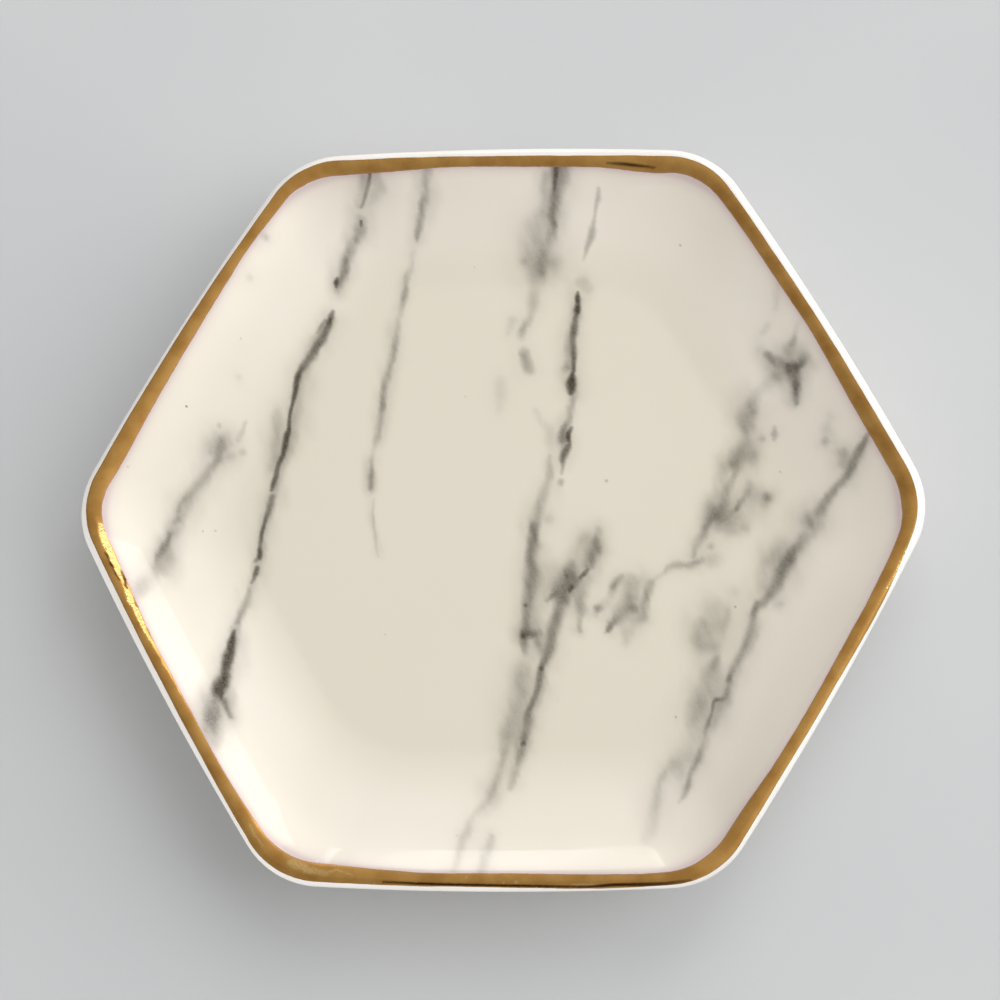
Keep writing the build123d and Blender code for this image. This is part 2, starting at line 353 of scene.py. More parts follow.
THIN_VEIN = {
    "lines": [
        [(422.3, 200, 1.4, .5), (421.6, 209, 1.6, .55), (420.4, 220, 1.5, .4), (417.6, 234, 1.4, .5),
         (416.6, 240, 1.2, .4)], [(404.4, 290, 1.5, .45), (403.6, 298, 1.6, .5)], [(383, 398, 1.8, .45),
         (381.6, 408, 1.8, .48)], [(371.6, 472, 1.7, .5), (371.4, 479, 1.9, .62), (371.2, 487, 1.9, .62),
         (371.6, 492, 1.2, .4)],
    ],
    "washes": [
        [(427.6, 170, 3.6, .26), (425.5, 188, 3.8, .3), (423, 207, 3.8, .34), (420.4, 222, 3.6, .3),
         (417.2, 237, 2.8, .3)], [(412.6, 252, 2.4, .12), (411, 266, 2.6, .13), (406, 281, 2.6, .3),
         (404, 296, 2.6, .36), (402, 304, 2.6, .28), (400, 316, 2.8, .14), (397, 330, 2.8, .3), (395, 342, 3, .32),
         (392, 361, 3, .34), (387, 380, 3, .34), (382.6, 403, 3, .36), (379.8, 420, 2.8, .34), (377, 438, 2.4, .28),
         (374, 452, 2, .12), (371.8, 465, 2.2, .32), (371.6, 480, 2.4, .34), (371.2, 489, 2, .3)],
        [(373.4, 500, 1.2, .1), (373.6, 520, 1.4, .2), (374.6, 535, 1.4, .18), (376, 548, 1.5, .14),
         (377, 556, 1.2, .08)],
    ],
}
TOP_WASH = {
    "lines": [
        [(555.4, 170, 2, .6), (554.6, 184, 2.2, .55), (553, 200, 2.4, .45), (551, 215, 2.2, .3)],
        [(556.5, 166, 1.5, .72), (556.3, 173, 1.5, .75), (555.3, 181, 1.3, .65), (554.6, 190, 1.1, .45)],
        [(541.6, 253, 2.4, .07), (541, 264, 2.8, .09), (540.4, 274, 2.2, .08)], [(524, 350, 2, .3),
         (524.6, 358, 2.2, .4), (527.2, 366, 2.2, .34), (530, 372, 2, .2)],
    ],
    "washes": [
        [(561, 166, 7, .34), (560, 178, 7, .34), (558, 192, 6, .34), (555.4, 204, 4.6, .36), (554, 215, 4.4, .38),
         (552.6, 226, 4, .38), (550, 238, 4, .22), (545, 248, 4.6, .15), (542, 259, 5, .15), (541, 270, 5, .16)],
        [(546.5, 175, 3.6, .16), (544, 186, 4, .16), (545, 199, 5, .13), (544, 212, 6, .12)], [(538, 219, 8, .13),
         (537, 230, 12, .16), (537, 243, 13, .16), (536, 256, 13, .15), (536, 267, 10, .11)], [(543, 265, 12, .1),
         (537, 276, 8, .15), (535, 288, 5.6, .12), (533.6, 300, 5, .17), (532, 311, 4, .15), (528, 321, 3.2, .17),
         (523.4, 328, 3, .24), (521, 337, 3, .1)], [(524.4, 262, 3.2, .14)], [(555, 262, 6, .12)],
        [(512, 321, 4, .08), (509, 333, 3.4, .07)], [(525, 354, 4, .16), (529, 369, 4.6, .14)], [(500, 383, 6, .07),
         (499, 398, 5, .07), (499, 410, 4, .04)],
    ],
}
CENTRE_LINE = {
    "lines": [
        [(598.6, 189, 1.2, .28), (598, 198, 1.6, .36), (596.7, 205, 1.5, .34), (595.4, 214, 1.2, .28),
         (592.9, 224, 1.6, .34), (591.6, 231, 2.2, .46), (590.3, 238, 2.1, .48), (587.8, 245, 1.5, .42),
         (586, 252, 1.1, .32), (583.5, 260, 1, .12)], [(578.2, 293, 1.3, .6), (577.7, 299, 2, .92),
         (577.7, 304, 1.8, .85), (577, 310, 2.1, 1), (576.7, 314.5, 1.3, .75)], [(575.6, 318, 1.6, .48),
         (574.8, 324, 2, .48), (573.8, 332, 2.3, .62), (573.4, 341, 2, .46), (573.7, 350, 2, .48),
         (574, 357, 1.8, .62), (573.6, 364, 1.6, .7), (573.2, 371, 1.5, .72)], [(572.1, 374, 1.4, .85),
         (571.9, 379, 2.5, 1), (571.6, 384.5, 3.2, 1), (571.3, 389, 2.7, .95), (570.7, 393, 1.7, .7)],
        [(565.2, 426, 1.8, .4), (563, 432, 2.2, .42), (561.8, 439, 2.6, .42)], [(571.2, 428, 1.3, .45),
         (568.9, 433, 1.5, .8), (568.6, 438, 1.7, .92), (569.8, 443, 1.3, .6), (568, 448, 2.2, .6),
         (564.8, 453.5, 2.4, .66), (563, 459, 2, .5), (562.8, 466, 1.5, .34), (561.4, 474, 1.1, .2)],
        [(560.4, 482.6, 2, .38)],
    ],
    "washes": [
        [(584, 283, 5, .12), (577, 284, 3.4, .1), (590, 288, 4, .08)], [(577.6, 300, 4.4, .26), (576, 318, 4, .24),
         (572, 336, 4.6, .26), (571, 352, 4.8, .26), (570, 368, 5, .2)], [(565.5, 368, 3, .14)],
        [(571.6, 384, 6, .2), (574, 393, 4.4, .22), (571.8, 402, 3, .2), (570.4, 412, 2.8, .22), (568, 420, 3, .24),
         (565, 428, 3.8, .22), (564.6, 438, 5.4, .26), (565.4, 448, 4.4, .2), (563, 460, 3.4, .16)],
    ],
}
CENTRE_FORK = {
    "lines": [
        [(535, 526, 2.6, .5), (534, 534, 2.6, .6), (532.3, 543, 2.6, .62), (531, 553, 2.8, .58),
         (530.2, 563, 3.2, .54), (531.2, 574, 4, .5), (530.4, 584, 3.8, .46), (529, 593, 3.4, .46),
         (527, 601, 3, .46), (526.6, 611, 2.6, .42), (525, 621, 2.6, .38), (524.8, 630, 2.8, .46),
         (524, 638, 2.6, .55), (524.4, 646, 2.2, .42), (525.2, 653, 2, .24)], [(525.6, 605.5, 1.3, .85)],
        [(523.6, 635.4, 1.6, .7)], [(587.5, 570, 1.4, .6), (584.6, 573.4, 1.7, 1), (581, 577, 1.4, .7)],
        [(579, 579, 2, .5), (575, 583, 2.2, .5)], [(571.6, 587.2, 1.8, 1), (570, 590.4, 1.5, .8)],
        [(563, 600, 4, .46), (558.6, 611, 3.6, .42), (555.4, 621, 3.6, .46), (552.8, 631, 3.6, .44),
         (550.2, 641, 3.4, .46), (548.4, 650, 3.2, .48), (544.6, 660, 2.6, .54), (541.6, 667, 2.2, .7),
         (540.2, 676, 2.2, .6), (538.2, 686, 2.4, .56), (535, 696, 2, .56), (531.2, 706, 2, .62),
         (528, 714, 2.2, .58), (527.4, 724, 3, .44), (526.6, 732, 3, .46), (523.4, 738, 2.6, .5)],
        [(541.4, 668.4, 1.5, .95)], [(523.2, 743.4, 1.9, 1)], [(521.6, 749, 2, .5), (520, 756, 1.8, .48),
         (517.8, 763, 1.8, .28)],
    ],
    "washes": [
        [(553, 599, 3.4, .14), (560, 587, 5, .16), (568, 574, 5, .16), (573, 564, 4, .12)], [(578, 570, 4, .12),
         (570, 584, 4, .12)], [(598, 543, 5, .22), (595, 554, 5, .26), (589, 564, 5, .24)], [(586, 541, 6, .12)],
        [(533.6, 530, 4, .2), (531.6, 548, 4, .18), (530.6, 566, 5, .16), (529.6, 584, 5.4, .15),
         (527.6, 602, 4.4, .16), (525.4, 620, 3.6, .2), (524.6, 638, 3.6, .2)], [(524, 634, 4, .24),
         (532, 634, 4.4, .28), (540, 635, 4, .26)], [(524, 644, 3.4, .24), (524.6, 650, 2.6, .2)],
        [(550, 455, 2, .16), (549.6, 464, 2.8, .24), (549.4, 472, 3.2, .28), (548.4, 480, 3.4, .25),
         (545.4, 489, 4.2, .28), (542.4, 499, 4.6, .3), (539.4, 507, 4.8, .3), (536.6, 516, 4.8, .32),
         (535, 526, 4.6, .34), (534, 540, 5, .28), (532.6, 556, 5.6, .26), (533, 574, 7, .26), (532, 590, 6.4, .24),
         (529.6, 606, 5.6, .2), (529, 622, 6, .18)], [(549, 519, 4.4, .14)], [(535, 411, 2.4, .08),
         (540, 421, 3, .08), (549, 430, 4, .09), (549, 442, 5, .08)], [(540, 546, 3.4, .12)], [(544, 570, 7, .12),
         (540, 590, 7, .1)], [(537, 609, 7, .12), (534, 622, 7, .12)], [(526, 632, 4, .3), (532, 634, 4, .34),
         (537, 633, 3.6, .32)], [(538, 643, 2.6, .28), (540.4, 652, 2.6, .22)], [(530, 656, 6, .1),
         (523, 666, 8.5, .1), (520, 676, 9.5, .1), (518.6, 687, 10, .1), (515, 699, 9.6, .12),
         (511.6, 711, 8.6, .16), (508.6, 722, 6.6, .24), (506, 733, 5, .33), (505, 744, 4.4, .32),
         (503.4, 755, 3.2, .26), (501, 763, 3, .22)], [(522, 674, 8, .18), (522, 690, 9, .2), (520, 704, 8, .22),
         (518, 720, 7, .22), (516, 738, 6.6, .2), (513, 754, 6, .13)], [(599, 530, 4, .26), (597, 540, 4.4, .3),
         (593.4, 549, 5, .36), (590.6, 556, 5, .38), (589.4, 565, 4, .34)], [(585, 536, 6, .15),
         (578, 554, 8, .12)], [(598.6, 551, 4, .14)], [(572, 565, 5, .22), (567.6, 572, 6, .34),
         (562.6, 580, 6, .36), (560.8, 590, 6.4, .36), (562, 600, 6, .38), (558.6, 611, 5.4, .34),
         (555.6, 622, 5.4, .34), (553, 634, 5.4, .34), (550.4, 646, 5.2, .34), (546, 659, 4.6, .34),
         (542.4, 672, 4.6, .3), (539.4, 688, 5, .3), (535, 701, 4.6, .3), (530, 713, 5, .3), (528, 728, 6, .3),
         (524, 742, 5.4, .3), (520.4, 754, 4.6, .26), (516.6, 767, 4, .24), (513, 779, 3.6, .26),
         (510, 788, 2.6, .2)], [(572, 578, 7, .36), (568, 590, 6, .38)], [(555, 593, 3, .36), (550, 598, 2.2, .36),
         (547, 601.4, 1.4, .3)], [(586, 580, 5, .22), (582, 591, 5.4, .26), (579.8, 600, 4.4, .32),
         (580.2, 609, 4.2, .36), (580.6, 616, 2.8, .3), (580.2, 623, 2.2, .24), (579.6, 630, 2.2, .32)],
    ],
}
MIDDLE_BLOTS = {
    "lines": [
        [(613.6, 586.6, 2.4, .36)], [(598, 608, 2.6, .4)], [(615, 620.5, 2.4, .36), (609, 628, 1.9, .5),
         (605, 632.4, 1.1, .36)],
    ],
    "washes": [
        [(621.4, 577, 2.4, .22), (616, 583, 3.4, .3), (613, 588, 3.4, .3), (611, 597, 3, .14),
         (605.6, 604, 4.4, .14), (598.4, 608.4, 3.6, .28)], [(595, 614, 3, .1)], [(630.5, 582, 7, .2),
         (630.4, 592, 6.4, .24), (630, 600, 6.4, .34), (626, 608.6, 7.4, .36), (620, 615, 7, .34),
         (613.8, 622, 4.4, .38), (608.4, 628.6, 2.8, .4)], [(633.4, 609, 4.6, .34)], [(627, 632, 5.6, .16),
         (626.6, 641, 4.6, .14)], [(636, 622, 5, .12)], [(639, 582, 6, .14)], [(650, 583.4, 3.6, .34),
         (647, 593, 3.6, .38), (644.4, 602, 3.4, .34), (643.2, 610, 4.4, .34), (643.8, 617.4, 4.2, .38)],
    ],
}
RIGHT_CLOUD = {
    "lines": [
        [(767.5, 354.4, 2.4, .6), (772, 359, 2.6, .42)], [(788, 364.6, 1.7, .72), (788.8, 371, 2, .5)],
        [(793, 367, 3, .42), (798, 366.6, 2.2, .66), (802, 364.6, 2, .56)], [(795, 383, 2.2, .55),
         (795.4, 388, 1.6, .7), (795.4, 396, 2.2, .42), (796.4, 403, 1.6, .4)], [(791.6, 345, 2, .34),
         (794.2, 339, 1.5, .34)], [(753.9, 411.8, 1.8, .42)], [(774.6, 428, 1.5, .42), (774.8, 439.5, 1.4, .42)],
        [(724, 512, 4, .5), (721.6, 519, 4.2, .56), (719, 527, 3.6, .46)], [(735.6, 509, 2, .4),
         (731.6, 512, 2.4, .42)], [(716.4, 516.8, 2, .5), (711.4, 521, 1.8, .46), (706.4, 527, 2, .36)],
        [(767.4, 497.6, 2.6, .42)],
    ],
    "washes": [
        [(790, 369, 7, .26), (795, 380, 5, .28), (796, 391, 3.6, .22)], [(778, 362, 5, .2)], [(801, 362, 5, .2)],
        [(749, 409, 7, .1), (746, 421, 7, .1)], [(738, 458, 7, .07)], [(768, 497, 5, .1)], [(666, 571, 2.6, .14),
         (677, 564, 3.4, .2), (691, 565.4, 3.6, .2), (702, 560, 3, .2)], [(711, 562, 5.4, .12)],
        [(694, 556, 2.2, .26), (695, 549, 3.4, .28), (698.8, 541, 4.2, .3), (702.6, 533, 4.4, .34),
         (706.6, 526, 4, .34), (711.6, 518, 4, .34), (717, 512, 4.4, .36), (722, 504, 4.4, .38),
         (725.4, 494, 4, .36), (728.2, 486, 3.4, .32), (731.8, 479, 3, .28), (735.6, 471, 3.6, .3),
         (737, 461, 6.6, .38), (738.4, 454, 7, .4), (744, 446, 6.6, .32), (744.6, 437, 5, .24),
         (746, 428, 6.4, .32), (745, 420, 7, .34), (748.6, 412, 7.4, .32), (751.4, 403, 6, .26), (756, 396, 5, .14),
         (762, 389, 5, .12), (768, 383, 5, .14), (775, 377, 5, .18)], [(710, 507, 5, .22), (707, 517, 4.2, .22)],
        [(720.6, 481, 4, .14), (721.8, 468, 4.6, .14), (716, 494, 5, .12)], [(731, 464, 5, .2)],
        [(752, 456, 5.4, .26), (752.4, 463, 3.6, .16)], [(721, 520, 6, .26), (729, 519, 6, .24),
         (728, 529, 6, .22)], [(750, 486, 4.4, .28), (746, 496, 3, .28), (741, 502.6, 2.8, .3),
         (736, 509, 2.8, .34)], [(755, 496, 5.6, .15)], [(767.6, 498, 4.4, .28), (763.6, 505, 4.2, .2)],
        [(744.8, 528, 3.4, .2)], [(748, 513, 10, .13), (738, 522, 9, .14)], [(710, 547, 3, .22)],
        [(717, 558, 5.4, .1)], [(777, 284, 2.6, .08), (776.6, 297, 3, .12), (775.4, 308, 2.6, .1)],
        [(768, 324, 2.6, .08), (762.6, 333, 2.6, .12)], [(760, 349, 3.6, .1)], [(768, 355, 4.6, .26),
         (773.6, 360, 5, .3), (780, 364, 5.6, .36), (788, 366, 6, .36), (796, 367, 6, .36), (802, 363, 4.6, .28)],
        [(789.6, 350, 5, .26), (792, 343, 3.6, .24), (795, 334, 3, .12), (798.6, 324, 3, .08)],
        [(805, 356, 5, .18)], [(793.4, 375, 5.4, .36), (795, 384, 5, .38), (795.4, 394, 4.2, .3),
         (796, 403, 3, .22)], [(792, 400, 6.4, .14)], [(782, 375, 6, .2)], [(761, 439, 3, .22)],
        [(774.6, 434, 3, .22)], [(825.4, 441.4, 3.6, .28)], [(826, 430, 5, .1), (830, 416, 3.6, .1)],
    ],
}
EDGE_VEIN = {
    "lines": [
        [(868.2, 434, 1.5, .62), (865.6, 439.5, 1.8, .72), (862.4, 445.5, 2.4, .76), (858.3, 451, 2.9, .74),
         (856, 457, 2.9, .64), (853.4, 463, 3.1, .64), (850, 469.5, 2.6, .68), (846.4, 476, 2.2, .56),
         (841, 483, 2.2, .42), (835.3, 489, 2.6, .46), (829.6, 496, 2.8, .48), (824, 504, 2.8, .44),
         (820, 512, 3, .34)], [(797, 547, 3.2, .42), (791.6, 554, 3.6, .56), (787.6, 561, 3.8, .62),
         (783, 568.5, 4.2, .54), (779.6, 576, 4, .54), (776.4, 585, 3.6, .46), (770.4, 594, 3, .44),
         (764.6, 601, 3, .44), (757.6, 606, 2.8, .5), (754, 612.5, 2.2, .66), (752.6, 621, 2.4, .46),
         (750, 631, 2.4, .42), (747, 640, 2.2, .46), (743.3, 649, 2.2, .46), (739.5, 658, 2.4, .38),
         (734.6, 666, 2.6, .34), (731.8, 672, 2, .55), (729.2, 679, 2.1, 1), (729.2, 685, 2.2, .45),
         (726.8, 693, 2.2, .45), (722.8, 699, 1.9, .6), (717.2, 699.8, 1.7, .98), (713.6, 703, 1.3, .9),
         (712, 711, 1.1, .78), (709.6, 718.5, 1.2, .72), (708.2, 723, 1.5, .78), (705.4, 730, 1.5, .38),
         (703.6, 740, 1.2, .14), (699.6, 753, 2, .36), (695.6, 763, 1.8, .38), (691.4, 771, 2, .3),
         (690, 778, 1.8, .38), (687.6, 786, 2, .5), (684.6, 796, 1.6, .32), (679, 802, 1.4, .2)],
    ],
    "washes": [
        [(791, 552, 8, .1), (783, 565, 9, .13), (777, 577, 8, .1)], [(866, 441, 4.4, .24), (858.6, 453, 5.4, .28),
         (851, 468, 5, .28), (842, 482, 4.4, .26), (833, 492, 4.6, .28), (825, 503, 5, .3), (819, 513, 6, .28),
         (813, 523, 8, .3), (809, 532, 6.6, .26), (802, 541, 6, .32), (796, 549, 6, .36), (788, 560, 6.4, .38),
         (782, 571, 7, .38), (777, 583, 5.6, .32), (770, 594, 4.6, .3), (760, 604, 4.6, .32), (754, 614, 4.6, .3),
         (754, 626, 6, .28), (751, 638, 5.6, .26), (745, 651, 5, .26), (738, 664, 5, .24), (732, 676, 5.6, .26),
         (729, 688, 5.4, .24), (724, 700, 6, .26), (717, 712, 6.4, .28), (711, 725, 5.6, .24), (705, 740, 4.6, .16),
         (700, 755, 4.2, .2), (694, 768, 4, .2), (689, 782, 4, .22), (684, 796, 3.4, .16)], [(843, 455, 4.4, .3),
         (842, 463, 4.4, .26)], [(838.6, 452, 3.6, .16)], [(807, 519, 6.6, .24)], [(781, 545, 7, .18),
         (774, 555, 6, .24), (763, 566, 5.6, .14), (762, 578, 6, .15), (764, 587, 7, .18)], [(780, 604, 3.6, .14)],
        [(735, 592, 4.6, .08)],
    ],
}
ROUND_CLOUD = {
    "lines": [
        [(716.6, 659, 2, .42), (712.8, 666.5, 2.2, .52)], [(726.8, 610, 1.6, .3), (727, 617, 1.8, .36),
         (725, 625, 1.8, .34)], [(697.6, 562, 1.4, .46), (691, 564, 1.7, .54), (684.6, 565.4, 1.3, .4),
         (677, 563.4, 2, .34), (671.6, 565.6, 1.8, .34), (665.4, 570.6, 1.3, .3), (659, 576.8, 1.4, .3),
         (652, 581, 1.8, .3)], [(667, 769, 1.6, .14), (661.6, 777, 1.8, .3), (658, 790, 1.8, .12),
         (656, 806, 1.9, .16)],
    ],
    "washes": [
        [(718, 631, 7, .14), (717, 643, 6, .1)], [(704, 628, 8, .07), (708, 641, 7, .07)], [(712, 604, 8, .1)],
        [(721, 611, 9, .24), (716, 622, 10.6, .26), (709, 634, 10, .28), (703, 645, 8, .3)], [(700.4, 624, 6, .24),
         (697, 637, 7, .22)], [(713, 648, 6, .28), (715, 657, 4.4, .26), (712, 667, 5, .34), (707.4, 676, 6, .36),
         (703.6, 686, 6.2, .36), (699.6, 696, 6.6, .36), (695.6, 706, 7, .38), (693.4, 715, 6, .36),
         (691, 722, 5, .26)], [(717, 672, 6, .22), (716.4, 682, 7, .26), (713, 693, 7, .28), (705, 706, 7, .28),
         (702, 720, 7.4, .24), (695, 734, 8, .2), (689, 747, 8, .18), (686, 760, 8, .22), (680, 770, 7.4, .24)],
        [(678, 759, 7, .16), (670.6, 766, 6, .24), (664, 775, 5.4, .26), (660, 786, 5.6, .24), (657.6, 798, 6, .27),
         (655, 811, 6, .27), (651.6, 825, 5.6, .2), (646, 839, 5, .13)],
    ],
}
LOWER_ENDS = {
    "lines": [],
    "washes": [
        [(499.4, 768, 3.4, .32), (496.4, 779, 3.8, .36), (492.6, 789.6, 4, .36), (488.6, 798.4, 3.8, .32),
         (483.6, 805, 3, .2), (475, 815, 2.8, .12), (469.6, 825, 3.4, .18), (465.8, 835, 3.6, .28),
         (461, 846, 3.6, .26), (457.6, 858, 3.6, .22), (454.2, 871, 3.6, .2)], [(497, 796, 7, .1),
         (488, 809, 6.4, .08)], [(491.2, 837.6, 3, .22), (488.8, 846, 3.8, .26), (485.2, 858, 3.8, .24),
         (482.4, 870, 3.8, .24)],
    ],
}
SPECKS = {
    "lines": [
        [(186.6, 406.6, .9, .8)], [(680, 245.5, .9, .5)], [(474.7, 267, .7, .3)], [(241, 339, .8, .3)],
        [(606.4, 481.4, 1.1, .35)], [(736, 607, .8, .6)], [(676, 717, .8, .5)], [(779.7, 471.4, 1, .22)],
        [(457, 836, .8, .3)], [(127, 467, .8, .3)], [(203, 531, .8, .35)], [(216, 531, .7, .3)],
        [(384, 635, .7, .25)], [(465, 397, .7, .25)],
    ],
    "washes": [],
}
FAINT = {
    "lines": [],
    "washes": [
        [(265, 238, 3.6, .12)], [(250, 278, 3.6, .08)], [(239, 378, 3, .06)],
    ],
}

# How each vein is laid: the strength of its lines and how wide they spread, then the strengths of its washes and
# of the halo that creeps out of them
VEINS = (
    (LEFT_BRANCH, 0.4, 1.4, 0.62, 0.32),
    (FIRST_VEIN, 0.84, 1.38, 1.08, 0.5),
    (THIN_VEIN, 0.34, 1.7, 0.76, 0.34),
    (TOP_WASH, 0.68, 1.5, 1.12, 0.34),
    (CENTRE_LINE, 0.88, 1.4, 1.15, 0.38),
    (CENTRE_FORK, 0.61, 1.35, 0.74, 0.24),
    (MIDDLE_BLOTS, 0.65, 1.25, 0.82, 0.2),
    (RIGHT_CLOUD, 0.5, 1.25, 0.72, 0.3),
    (EDGE_VEIN, 0.44, 1.35, 0.75, 0.3),
    (ROUND_CLOUD, 0.4, 1.35, 0.47, 0.2),
    (LOWER_ENDS, 0.5, 1.3, 0.52, 0.25),
    (SPECKS, 1.0, 1.0, 0.0, 0.0),
    (FAINT, 0.0, 1.0, 1.3, 0.3),
)

# Sizes in pixels of the noises that the ink follows, then how far they move it and how much they change it
WAVER_SIZE, FINE_WAVER_SIZE, DRIFT_SIZE = 7, 2.4, 16
GRAIN_SIZE, STREAK_SIZE, BLOT_SIZE, PATCH_SIZE = 2.6, 5, 11, 13
FINE_WAVER, LINE_WAVER, PALE_WAVER, WASH_WAVER, HALO_DRIFT = 0.3, 0.8, 1.4, 2.4, 6
LINE_GRAIN, WASH_GRAIN, WASH_STREAKS, WASH_BLOTS, HALO_PATCHES = 0.12, 0.05, 0.4, 0.25, 0.5

# A line with a dab stronger than DARK is crisp. The others are softer, weaker and wider.
DARK = 0.64
LINE_SOFTNESS, WASH_SOFTNESS = 0.75, 0.98
PALE_STRENGTH, PALE_WIDTH = 0.8, 1.1
HALO_WIDTH, HALO_SPREAD = 2.1, 2

STREAK = math.radians(-68)  # the veins' run, from the top right down to the left
INK_DEPTH = 1.64  # turns a share of ink as the eye sees it into a share of light held back
LATTICE = 256  # cells of noise before it repeats
OCTAVE_SHIFT = (31.7, 17.3)  # moves each octave off the one before
BATCH = 20000  # points worked on at a time, to save memory


def lattice(x, y, seed):
    """Smooth noise from 0 to 1: random values on a unit lattice, mixed by cubic weights."""
    values = np.random.default_rng(seed).random((LATTICE + 1, LATTICE + 1))
    column, row = np.floor(x).astype(int), np.floor(y).astype(int)
    across, down = x - column, y - row
    across, down = across * across * (3 - 2 * across), down * down * (3 - 2 * down)
    column, row = column % LATTICE, row % LATTICE
    top = values[row, column] * (1 - across) + values[row, column + 1] * across
    bottom = values[row + 1, column] * (1 - across) + values[row + 1, column + 1] * across
    return top * (1 - down) + bottom * down


def clouds(x, y, size, seed, octaves=3):
    """Noise of several sizes, each half as large and half as strong as the one before, about zero."""
    total, weight = 0.0, 0.0
    for octave in range(octaves):
        share = 2**octave
        shift_x, shift_y = (shift * octave for shift in OCTAVE_SHIFT)
        found = lattice(x / (size / share) + shift_x, y / (size / share) + shift_y, seed + octave)
        total = total + (found - 0.5) / share
        weight += 0.5 / share
    return total / weight


def along_stroke(stroke, step=1.5):
    """The points of a smooth curve through a stroke, with half width and strength, every step or so."""
    points = np.array(stroke, float)
    if len(points) == 1:
        return points
    ends = np.concatenate([[2 * points[0] - points[1]], points, [2 * points[-1] - points[-2]]])
    out = []
    for before, start, end, after in zip(ends, ends[1:], ends[2:], ends[3:]):
        count = max(2, int(np.hypot(*(end - start)[:2]) / step))
        t = np.linspace(0, 1, count, endpoint=False)[:, None]
        out.append(
            0.5 * (2 * start + (end - before) * t + (2 * before - 5 * start + 4 * end - after) * t**2
                   + (3 * start - before - 3 * end + after) * t**3)
        )
    return np.concatenate(out + [points[-1:]])


def painted(x, y, strokes, softness, strength=1.0, width=1.0, spread=0.0):
    """Ink laid by round dabs along each stroke, fading between 1 - softness and 1 + softness half widths.

    Within a stroke the strongest dab counts, and over strokes the clear parts multiply. Half widths are taken
    width times, plus spread, and strengths strength times.
    """
    clear = np.ones(x.shape)
    for stroke in strokes if strength else ():
        dabs = along_stroke(stroke)
        size, dark = dabs[:, 2] * width + spread, dabs[:, 3] * strength
        reach = size.max() * (1 + softness)
        inside = np.flatnonzero(
            (x > dabs[:, 0].min() - reach) & (x < dabs[:, 0].max() + reach)
            & (y > dabs[:, 1].min() - reach) & (y < dabs[:, 1].max() + reach)
        )
        for start in range(0, len(inside), BATCH):
            part = inside[start : start + BATCH]
            away = np.hypot(x[part, None] - dabs[:, 0], y[part, None] - dabs[:, 1]) / size
            fade = np.clip((1 + softness - away) / (2 * softness), 0, 1)
            clear[part] *= 1 - np.minimum((dark * fade * fade * (3 - 2 * fade)).max(1), 1)
    return 1 - clear


def marble_ink(x, y):
    """Ink from 0 to 1 at pixels x, y of the photograph.

    The strokes are laid on a picture that wavers along the veins' run, and the ink is streaked and grained.
    Each noise has a seed of its own.
    """
    along = x * math.cos(STREAK) - y * math.sin(STREAK)
    across = x * math.sin(STREAK) + y * math.cos(STREAK)
    waver_x = clouds(across, along / 2, WAVER_SIZE, 3) + FINE_WAVER * clouds(x, y, FINE_WAVER_SIZE, 9)
    waver_y = clouds(across, along / 2, WAVER_SIZE, 5) + FINE_WAVER * clouds(x, y, FINE_WAVER_SIZE, 13)
    drift_x, drift_y = (clouds(across, along / 2, DRIFT_SIZE, seed) for seed in (41, 43))
    grain = clouds(x, y, GRAIN_SIZE, 33, 2)
    streaks = 1 + WASH_STREAKS * clouds(across, along / 4, STREAK_SIZE, 21)
    streaks = (streaks + WASH_BLOTS * clouds(x, y, BLOT_SIZE, 27)) * (1 + WASH_GRAIN * grain)
    patches = 1 + HALO_PATCHES * clouds(across, along / 3, PATCH_SIZE, 51)

    def laid(strokes, waver, softness, *amounts):
        return painted(x + waver * waver_x, y + waver * waver_y, strokes, softness, *amounts)

    clear = np.ones(x.shape)
    for vein, line_strength, line_width, wash_strength, halo_strength in VEINS:
        dark = [stroke for stroke in vein["lines"] if max(dab[3] for dab in stroke) > DARK]
        pale = [stroke for stroke in vein["lines"] if max(dab[3] for dab in stroke) <= DARK]
        lines = laid(dark, LINE_WAVER, LINE_SOFTNESS, line_strength, line_width)
        soft = laid(pale, PALE_WAVER, WASH_SOFTNESS, PALE_STRENGTH * line_strength, PALE_WIDTH * line_width)
        washes = laid(vein["washes"], WASH_WAVER, WASH_SOFTNESS, wash_strength)
        halos = painted(
            x + HALO_DRIFT * drift_x, y + HALO_DRIFT * drift_y, vein["washes"], WASH_SOFTNESS, halo_strength,
            HALO_WIDTH, HALO_SPREAD
        )
        clear = clear * (1 - np.clip(lines * (1 + LINE_GRAIN * grain), 0, 1)) * (1 - soft)
        clear = clear * (1 - np.clip(washes * streaks, 0, 1)) * (1 - np.clip(halos * patches, 0, 1))
    return 1 - clear**INK_DEPTH


# Meshes
INSIDE_STEPS, CREST_STEPS = 48, 6  # along the coat's profile, under the transfer and over the crest
TRANSFER_EDGE_INSET = 1.95 * MM  # the transfer runs out under the gold line, wherever the brush went
TRANSFER_EDGE_STEPS = (120, 60)  # along each side and round each corner of its edge
FINEST_STEP = 0.16 * MM  # about one pixel of the photograph
COARSEST = 8  # steps between points where the ink is even
EDGE_CLEARANCE = 0.6 * FINEST_STEP  # between the grid's points and the edge's own
RIM_BAND = 3 * MM  # the width inside the transfer's edge where the lip bends tightly
UNEVEN, VERY_UNEVEN = 0.02, 0.03  # the ink that a run between points may miss
SAME_PLACE = 1e-6  # millimetres within which two points would be joined in one
NO_AREA = 1e-14  # square metres, under which a triangle has no area to show
FUME_REACH = 0.6 * MM  # how far the gold's tint fades into the glaze
POOL_WIDTH, POOL_DEPTH = 9 * MM, 0.8  # the glaze that ran down the slope lies deeper over the floor


